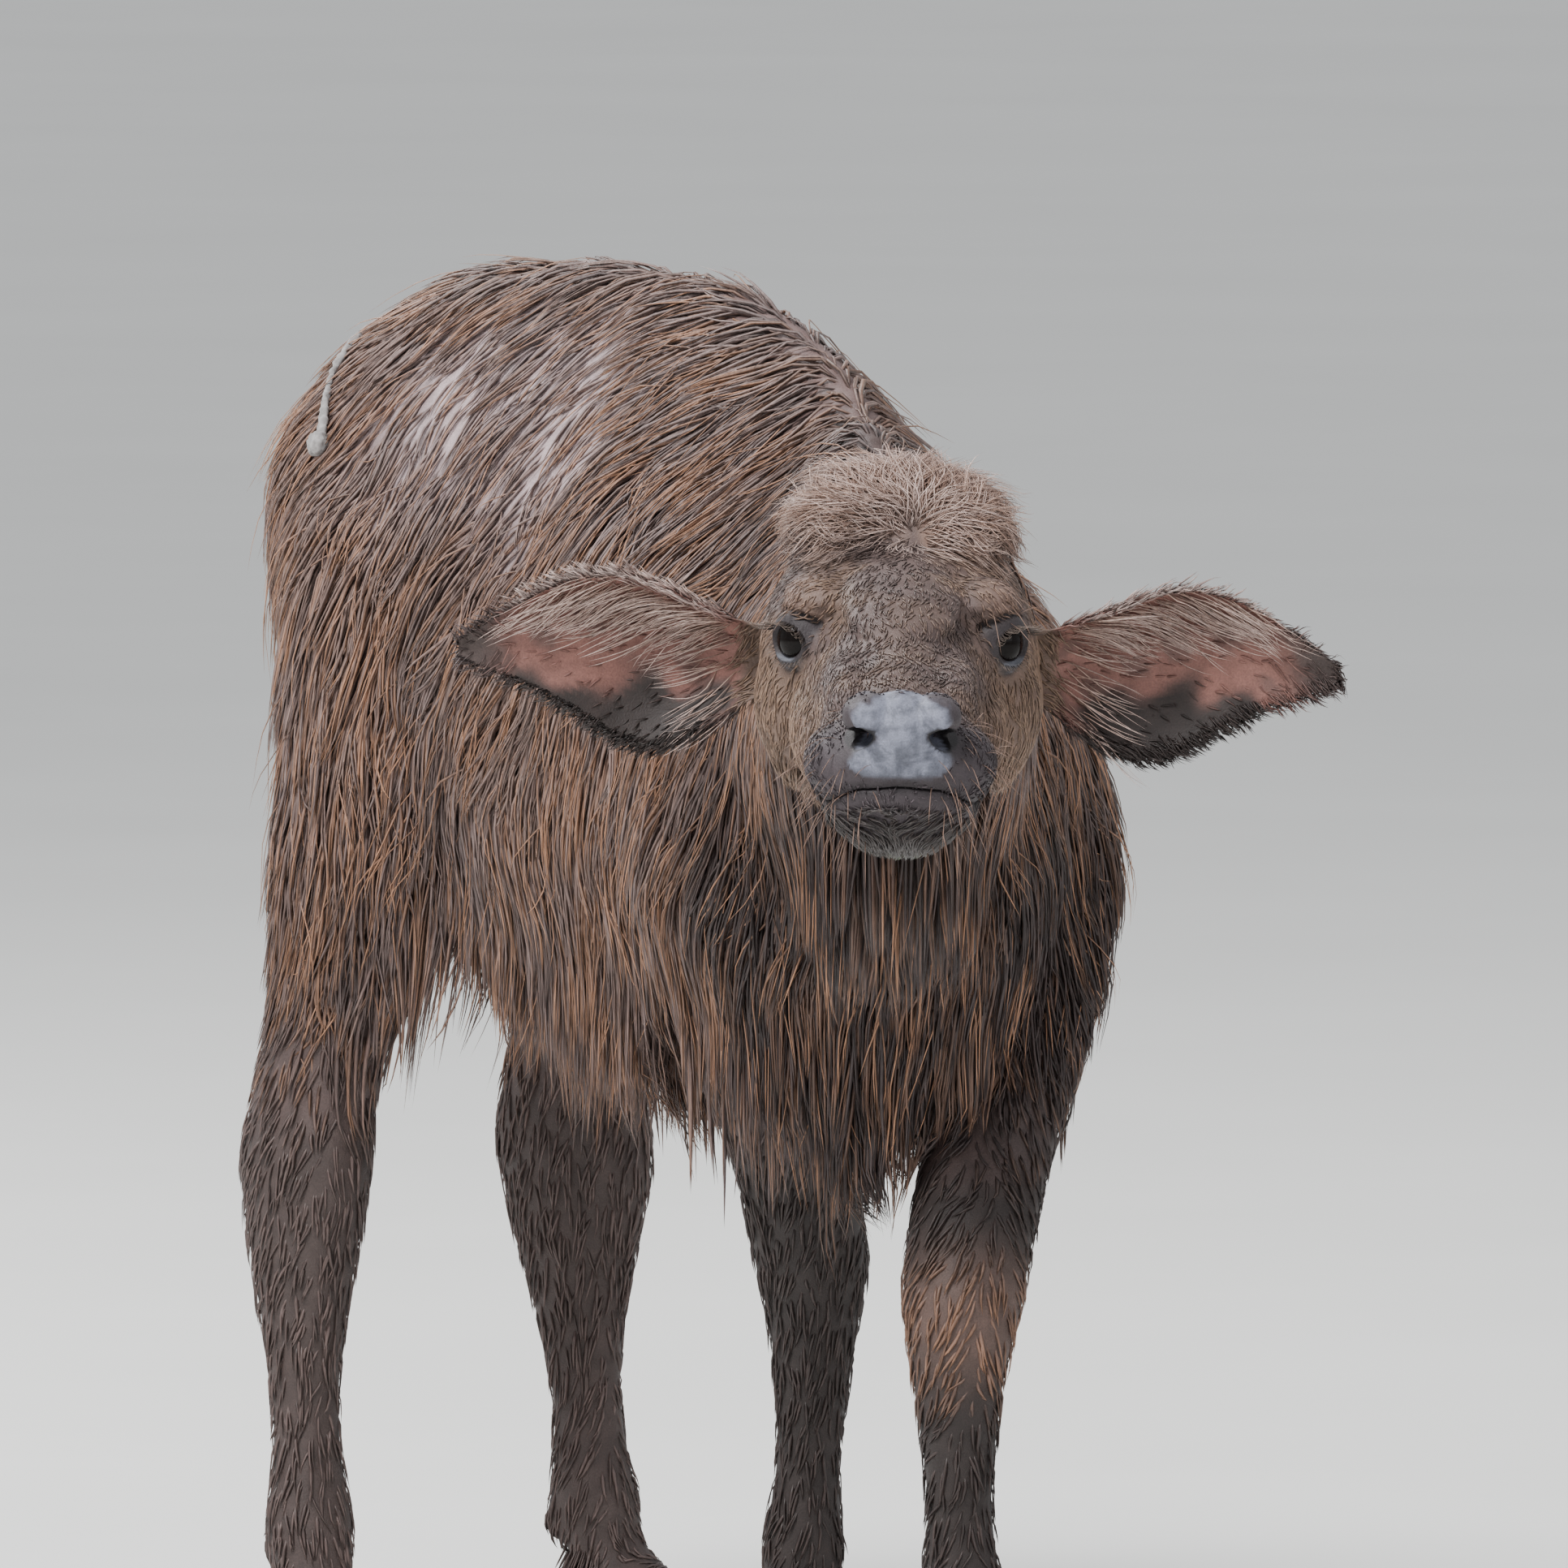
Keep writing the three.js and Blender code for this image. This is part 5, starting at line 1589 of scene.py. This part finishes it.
    def ear_tints(self, p: np.ndarray, n: np.ndarray) -> tuple[np.ndarray, np.ndarray]:
        """Root and tip colours of the ears' short hair."""
        look = ear_coloring(p, bump01((n @ FORWARD) / 0.3))
        return look.root, look.tip

    def fringe_flow(self, p: np.ndarray, n: np.ndarray) -> np.ndarray:
        """The fringe stands off the rim, slanting to the tip."""
        h = to_head(p)
        side = np.sign(h[:, 1])
        middle, _ = ear_outline(np.abs(h[:, 1]))
        up = np.sign(h[:, 2] - middle)
        return unit(np.column_stack([0.3 + 0 * side, 0.8 * side, 0.8 * up]) @ HEAD_AXES)

    def sweep_flow(self, p: np.ndarray, n: np.ndarray) -> np.ndarray:
        """The long hairs sweep from the upper rim and root down and out across the cup."""
        h = to_head(p)
        side = np.sign(h[:, 1])
        return unit(np.column_stack([0.35 + 0 * side, 0.95 * side, -0.45 + 0 * side]) @ HEAD_AXES)

    def tail(self) -> None:
        """Short hair on the tail and the long black switch."""
        hide, c = self.hide, self.hide.centre
        on_tail = (c[:, 1] > 398) & (c[:, 2] < 800) & (np.abs(c[:, 0]) < 60)
        style = TuftStyle(
            "tail_hair", 1800, length=34, width=1.8, lift=4,
            segments=4, clump=0.6, per_clump=6, spread=0.2, droop=1.2, cling=0.5,
        )
        p, n = hide.scatter(style.count, on_tail * 1.0)
        look = body_coloring(p)
        self.grow(style, p, n, tail_flow, np.full(len(p), 34.0), (look.root, look.tip))
        style = TuftStyle(
            "tail_switch_hair", 620, length=130, width=1.9, lift=7,
            segments=6, clump=0.8, per_clump=12, spread=0.12, droop=1.4, cling=0.1,
        )
        p, n = hide.scatter(style.count, on_tail * (c[:, 2] < 585))
        black = np.tile(BLACK * 1.2, (len(p), 1))
        reach = np.clip(p[:, 2] - 350, 60, 160) * RNG.uniform(0.7, 1.0, len(p))
        self.grow(style, p, n, switch_flow, reach, (black, black * 1.8))

    def build(self) -> None:
        """Grows the whole coat."""
        self.body()
        self.coronets()
        self.head()
        self.ears()
        self.tail()


class Nodes:
    """A small helper that lays out a material's nodes."""

    def __init__(self, name: str) -> None:
        """Starts a material with its shader."""
        self.material = bpy.data.materials.new(name)
        self.material.use_nodes = True
        self.tree = self.material.node_tree
        self.shader = self.tree.nodes["Principled BSDF"]

    def add(self, kind: str, **values: object) -> bpy.types.Node:
        """Adds a node and sets its properties or input sockets."""
        node = self.tree.nodes.new(kind)
        for key, value in values.items():
            if hasattr(node, key):
                setattr(node, key, value)
            else:
                node.inputs[key.replace("_", " ")].default_value = value
        return node

    def join(self, out: Socket, to: Socket) -> None:
        """Links two sockets."""
        self.tree.links.new(out, to)

    def noise(self, scale: float, detail: float = 3.0, stretch: tuple = (1, 1, 1)) -> Socket:
        """Noise in the object's own coordinates."""
        coords = self.add("ShaderNodeTexCoord")
        mapping = self.add("ShaderNodeMapping")
        mapping.inputs["Scale"].default_value = stretch
        noise = self.add("ShaderNodeTexNoise")
        noise.inputs["Scale"].default_value = scale
        noise.inputs["Detail"].default_value = detail
        self.join(coords.outputs["Object"], mapping.inputs["Vector"])
        self.join(mapping.outputs["Vector"], noise.inputs["Vector"])
        return noise.outputs["Fac"]

    def varied(self, color: Socket, fac: Socket, low: float, high: float) -> Socket:
        """Darkens and lightens a colour with a factor."""
        ramp = self.add("ShaderNodeMapRange")
        ramp.inputs["From Min"].default_value = 0.3
        ramp.inputs["From Max"].default_value = 0.7
        ramp.inputs["To Min"].default_value = low
        ramp.inputs["To Max"].default_value = high
        self.join(fac, ramp.inputs["Value"])
        scale = self.add("ShaderNodeVectorMath", operation="SCALE")
        self.join(color, scale.inputs[0])
        self.join(ramp.outputs["Result"], scale.inputs["Scale"])
        return scale.outputs["Vector"]

    def bump(
        self, height: Socket, strength: float, distance: float, under: Socket | None = None
    ) -> Socket:
        """A bump from a height."""
        node = self.add("ShaderNodeBump")
        node.inputs["Strength"].default_value = strength
        node.inputs["Distance"].default_value = distance
        self.join(height, node.inputs["Height"])
        if under is not None:
            self.join(under, node.inputs["Normal"])
        return node.outputs["Normal"]


@dataclass(frozen=True)
class HairFinish:
    """Wet hair: coloured by the tuft, glossy along its length."""

    roughness: float = 0.46
    strand_scale: float = 420.0

    def material(self) -> bpy.types.Material:
        """Makes the material."""
        nodes = Nodes("wet hair")
        tint = nodes.add("ShaderNodeAttribute", attribute_name="tint")
        fine = nodes.noise(self.strand_scale, 2.0, (1, 1, 0.25))
        color = nodes.varied(tint.outputs["Color"], fine, 0.72, 1.28)
        nodes.join(color, nodes.shader.inputs["Base Color"])
        nodes.shader.inputs["Roughness"].default_value = self.roughness
        nodes.shader.inputs["Specular IOR Level"].default_value = 0.35
        nodes.join(nodes.bump(fine, 0.35, 0.0006), nodes.shader.inputs["Normal"])
        return nodes.material


@dataclass(frozen=True)
class HideFinish:
    """Hide with pores and creases."""

    roughness: float = 0.6

    def material(self) -> bpy.types.Material:
        """Makes the material."""
        nodes = Nodes("hide")
        tint = nodes.add("ShaderNodeAttribute", attribute_name="tint")
        pores = nodes.noise(900.0, 3.0)
        blotch = nodes.noise(70.0, 5.0)
        color = nodes.varied(tint.outputs["Color"], blotch, 0.8, 1.2)
        color = nodes.varied(color, pores, 0.82, 1.18)
        nodes.join(color, nodes.shader.inputs["Base Color"])
        nodes.shader.inputs["Roughness"].default_value = self.roughness
        nodes.shader.inputs["Specular IOR Level"].default_value = 0.35
        low = nodes.bump(blotch, 0.3, 0.002)
        nodes.join(nodes.bump(pores, 0.5, 0.0008, low), nodes.shader.inputs["Normal"])
        return nodes.material


@dataclass(frozen=True)
class PlainFinish:
    """A finish of one colour, varied by noise.

    Scale is the noise's, and stretch squeezes it along the upright axis.
    """

    name: str
    color: tuple
    roughness: float
    scale: float = 60.0
    stretch: float = 1.0
    contrast: float = 0.2
    relief: float = 0.0005
    gloss: float = 0.5
    coat: float = 0.0

    def material(self) -> bpy.types.Material:
        """Makes the material."""
        nodes = Nodes(self.name)
        rgb = nodes.add("ShaderNodeRGB")
        rgb.outputs[0].default_value = (*self.color, 1.0)
        fac = nodes.noise(self.scale, 4.0, (1, 1, self.stretch))
        color = nodes.varied(rgb.outputs[0], fac, 1 - self.contrast, 1 + self.contrast)
        nodes.join(color, nodes.shader.inputs["Base Color"])
        nodes.shader.inputs["Roughness"].default_value = self.roughness
        nodes.shader.inputs["Specular IOR Level"].default_value = self.gloss
        nodes.shader.inputs["Coat Weight"].default_value = self.coat
        nodes.shader.inputs["Coat Roughness"].default_value = 0.04
        if self.relief > 0:
            nodes.join(nodes.bump(fac, 0.4, self.relief), nodes.shader.inputs["Normal"])
        return nodes.material


EYE_FINISH = PlainFinish(
    "eye", (0.006, 0.004, 0.0035), roughness=0.04, scale=300.0, contrast=0.3, relief=0.0, gloss=0.12
)
LID_FINISH = PlainFinish(
    "lid rim", (0.045, 0.036, 0.038), roughness=0.32, scale=500.0, contrast=0.25, relief=0.0002
)
HORN_FINISH = PlainFinish(
    "claw horn",
    (0.05, 0.04, 0.037),
    roughness=0.48,
    scale=70.0,
    stretch=6.0,
    contrast=0.35,
    relief=0.0006,
    gloss=0.4,
)
MUD_FINISH = PlainFinish(
    "dried mud", (0.30, 0.285, 0.28), roughness=0.85, scale=220.0, contrast=0.25, relief=0.0008, gloss=0.2
)
FLOOR_FINISH = PlainFinish(
    "floor", (0.80, 0.80, 0.78), roughness=0.9, scale=2.0, contrast=0.02, relief=0.0, gloss=0.1
)


@dataclass
class Eyes:
    """The eyeballs and the wet rims of their lids."""

    opening: tuple = (14.8, 11.9)

    def ball(self, side: int) -> bpy.types.Object:
        """One eyeball with a slightly bulging cornea."""
        bm = bmesh.new()
        centre, axes = eye_frame(side)
        matrix = ball_matrix(centre, axes, (EYE_RADIUS,) * 3)
        bmesh.ops.create_uvsphere(bm, u_segments=56, v_segments=36, radius=1.0, matrix=matrix)
        middle = Vector(to_row(centre))
        gaze = Vector(axes[0])
        for v in bm.verts:
            out = v.co - middle
            bulge = max(out.normalized().dot(gaze) - 0.78, 0) / 0.22
            v.co = middle + out * (1 + 0.045 * bulge * (2 - bulge))
        return object_of(bm, "eyeball_left" if side > 0 else "eyeball_right")

    def rim(self, side: int) -> bpy.types.Object:
        """The moist dark edge of the lids of one eye."""
        bm = bmesh.new()
        centre, axes = eye_frame(side)
        count, sides = 56, 8
        loops = []
        for k in range(count):
            a = 2 * math.pi * k / count
            x, y = self.opening[0] * math.cos(a), self.opening[1] * math.sin(a)
            z = math.sqrt(max(17.0**2 - x * x - y * y, 4.0))
            middle = centre + axes[0] * z + axes[1] * x + axes[2] * y
            away = unit(axes[1] * math.cos(a) + axes[2] * math.sin(a))
            out = unit(middle - centre)
            thick = 1.5 + 0.3 * math.sin(a)
            ring = [
                middle + thick * (math.cos(b) * away + math.sin(b) * out)
                for b in (2 * math.pi * j / sides for j in range(sides))
            ]
            verts = [bm.verts.new(Vector(q)) for q in to_row(np.array(ring))]
            loops.append([bm.edges.new((verts[j], verts[(j + 1) % sides])) for j in range(sides)])
        for k in range(count):
            bmesh.ops.bridge_loops(bm, edges=loops[k] + loops[(k + 1) % count])
        return object_of(bm, "lid_rim_left" if side > 0 else "lid_rim_right")

    def build(self) -> None:
        """Builds and dresses both eyes."""
        eye, lid = EYE_FINISH.material(), LID_FINISH.material()
        for side, node in ((1, "eye_left"), (-1, "eye_right")):
            ball, rim = self.ball(side), self.rim(side)
            ball.data.materials.append(eye)
            rim.data.materials.append(lid)
            for piece, slot in ((ball, Slot.EYE), (rim, Slot.COAT)):
                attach(piece, "root")
            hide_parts(node)
            log.info("%s", node)


@dataclass
class Claws:
    """The eight claws."""

    height: float = 42.0

    def claw(self, leg: str, hand: int) -> bpy.types.Object:
        """One claw: sloping front wall, rounded heel, flat sole with a worn edge."""
        bm = bmesh.new()
        side, ahead = leg_axes(leg)
        x, y = LEG_JOINTS[leg][-1][:2]
        centre = np.array([x, y, 0.0]) + side * hand * 17
        rings = []
        for t in (0.0, 0.03, 0.12, 0.3, 0.5, 0.7, 0.86, 1.0):
            trim = 1.3 if t == 0 else 0.5 if t == 0.03 else 0.0
            length, width, shift = 38 - 9 * t - trim, 15.6 - 0.6 * t - trim, 13 - 16 * t
            a = np.arange(26) * 2 * math.pi / 26
            taper = 1 - 0.22 * np.maximum(np.cos(a), 0)
            ring = centre + ahead * (shift + np.cos(a) * length)[:, None]
            ring = ring + side * (np.sin(a) * width * taper)[:, None]
            ring[:, 2] = self.height * t
            rings.append(ring)
        add_tube(bm, rings)
        rim = [e for e in bm.edges if all(v.co.z > (self.height - 0.01) / 1000 for v in e.verts)]
        bmesh.ops.bevel(bm, geom=rim, offset=0.0025, segments=3, profile=0.5, affect="EDGES", material=-1)
        return object_of(bm, f"horn_{leg}_{self.place(leg, hand)}")

    def place(self, leg: str, side: int) -> str:
        """Whether the claw on the left, 1, or right, -1, of a foot is its inner or outer one."""
        return "inner" if (side < 0) == leg.endswith("left") else "outer"

    def build(self) -> None:
        """Builds and dresses every claw."""
        horn = HORN_FINISH.material()
        for leg in LEG_JOINTS:
            for side in (-1, 1):
                piece = self.claw(leg, side)
                piece.data.materials.append(horn)
                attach(piece, "root")
                place = self.place(leg, side)
                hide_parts(f"claw_{leg}_{place}")
                log.info("claw of %s, %s", leg, place)


@dataclass
class MudStreak:
    """The dried dribble of mud on the rump, with the clod at its end."""

    start: tuple = (-44.0, 330.0, 836.0)
    end: tuple = (-92.0, 300.0, 763.0)

    def build(self, hide: Hide) -> None:
        """Models the streak on the hide.

        Args:
            hide: The surface that it sticks to.
        """
        bm = bmesh.new()
        t = np.linspace(0, 1, 16)
        line = np.array(self.start) * (1 - t)[:, None] + np.array(self.end) * t[:, None]
        line[:, 1] += 6 * np.sin(5 * t)
        spot, normal = hide.nearest(line)
        ahead = unit(np.gradient(spot, axis=0))
        side = unit(np.cross(ahead, normal))
        rings = []
        for k in range(len(t)):
            wide = 2.0 + 1.0 * math.sin(9 * t[k]) + 1.2 * t[k]
            a = np.arange(12) * 2 * math.pi / 12
            ring = spot[k] + normal[k] * 7 + side[k] * (wide * np.cos(a))[:, None]
            rings.append(ring + normal[k] * (2.6 * np.sin(a))[:, None])
        add_tube(bm, rings)
        matrix = ball_matrix(spot[-1] + normal[-1] * 8, [ahead[-1], side[-1], normal[-1]], (9, 7, 6))
        bmesh.ops.create_uvsphere(bm, u_segments=24, v_segments=16, radius=1.0, matrix=matrix)
        piece = remeshed(object_of(bm, "mud_streak"), 0.0012, 3)
        p, n = points_of(piece.data), normals_of(piece.data)
        set_points(piece.data, p + n * (0.7 * ripple(p, 7, 81) + 0.4 * ripple(p, 3, 83))[:, None])
        piece.data.materials.clear()
        piece.data.materials.append(MUD_FINISH.material())
        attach(piece, "root")
        log.info("mud streak")


@dataclass
class Studio:
    """Plain floor, soft light and the camera of the photo's view."""

    distance: float = 20.0
    azimuth: float = -36.0
    elevation: float = 4.5
    focal: float = 36.0 * 40000 / 1932
    aim: tuple = (49.5, 0.0, 564.0)

    def lamp(self, name: str, place: tuple, size: float, energy: float) -> None:
        """Adds a soft square light that faces the calf."""
        data = bpy.data.lights.new(name, "AREA")
        data.shape = "SQUARE"
        data.size = size
        data.energy = energy
        obj = bpy.data.objects.new(name, data)
        bpy.context.scene.collection.objects.link(obj)
        obj.location = Vector(place)
        aim = Vector((0, 0, 0.55)) - obj.location
        obj.rotation_euler = aim.to_track_quat("-Z", "Y").to_euler()

    def build(self) -> None:
        """Builds floor, world, lights and camera."""
        bm = bmesh.new()
        bmesh.ops.create_grid(bm, x_segments=2, y_segments=2, size=90.0)
        floor = object_of(bm, "floor")
        floor.data.materials.append(FLOOR_FINISH.material())
        world = bpy.data.worlds.new("studio")
        world.use_nodes = True
        background = world.node_tree.nodes["Background"]
        background.inputs["Color"].default_value = (0.90, 0.92, 0.95, 1)
        background.inputs["Strength"].default_value = 0.78
        bpy.context.scene.world = world
        turn = math.radians(self.azimuth)
        front = np.array([math.sin(turn), -math.cos(turn)])
        right = np.array([math.cos(turn), math.sin(turn)])
        key = front * 2.6 - right * 2.2
        fill = front * 3.0 + right * 3.4
        rim = -front * 3.0 - right * 2.4
        self.lamp("key", (key[0], key[1], 4.8), 2.0, 430.0)
        self.lamp("fill", (fill[0], fill[1], 2.6), 3.0, 36.0)
        self.lamp("rim", (rim[0], rim[1], 3.8), 2.5, 200.0)
        data = bpy.data.cameras.new("camera")
        data.lens = self.focal
        data.sensor_width = 36.0
        data.clip_end = 500.0
        camera = bpy.data.objects.new("camera", data)
        bpy.context.scene.collection.objects.link(camera)
        tilt = math.radians(self.elevation)
        away = Vector((front[0] * math.cos(tilt), front[1] * math.cos(tilt), math.sin(tilt)))
        aim = Vector(to_row(np.array(self.aim)))
        camera.location = aim + away * self.distance
        camera.rotation_euler = (-away).to_track_quat("-Z", "Y").to_euler()
        bpy.context.scene.camera = camera


FLESH = (
    ["torso", "neck", "head", "ear_left", "ear_right", "tail_dock", "tail_switch"]
    + [f"leg_{name}" for name in LEG_JOINTS]
    + [f"shank_{name}" for name in LEG_JOINTS]
)


def main() -> None:
    """Builds the calf and its studio."""
    skin = Skin().build(HideFinish().material())
    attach(skin, "root")
    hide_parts(*FLESH)
    log.info("hide: %d faces", len(skin.data.polygons))
    Eyes().build()
    Claws().build()
    hide = Hide(skin)
    MudStreak().build(hide)
    Coat(hide, HairFinish().material()).build()
    Studio().build()


if __name__ == "__main__":
    main()
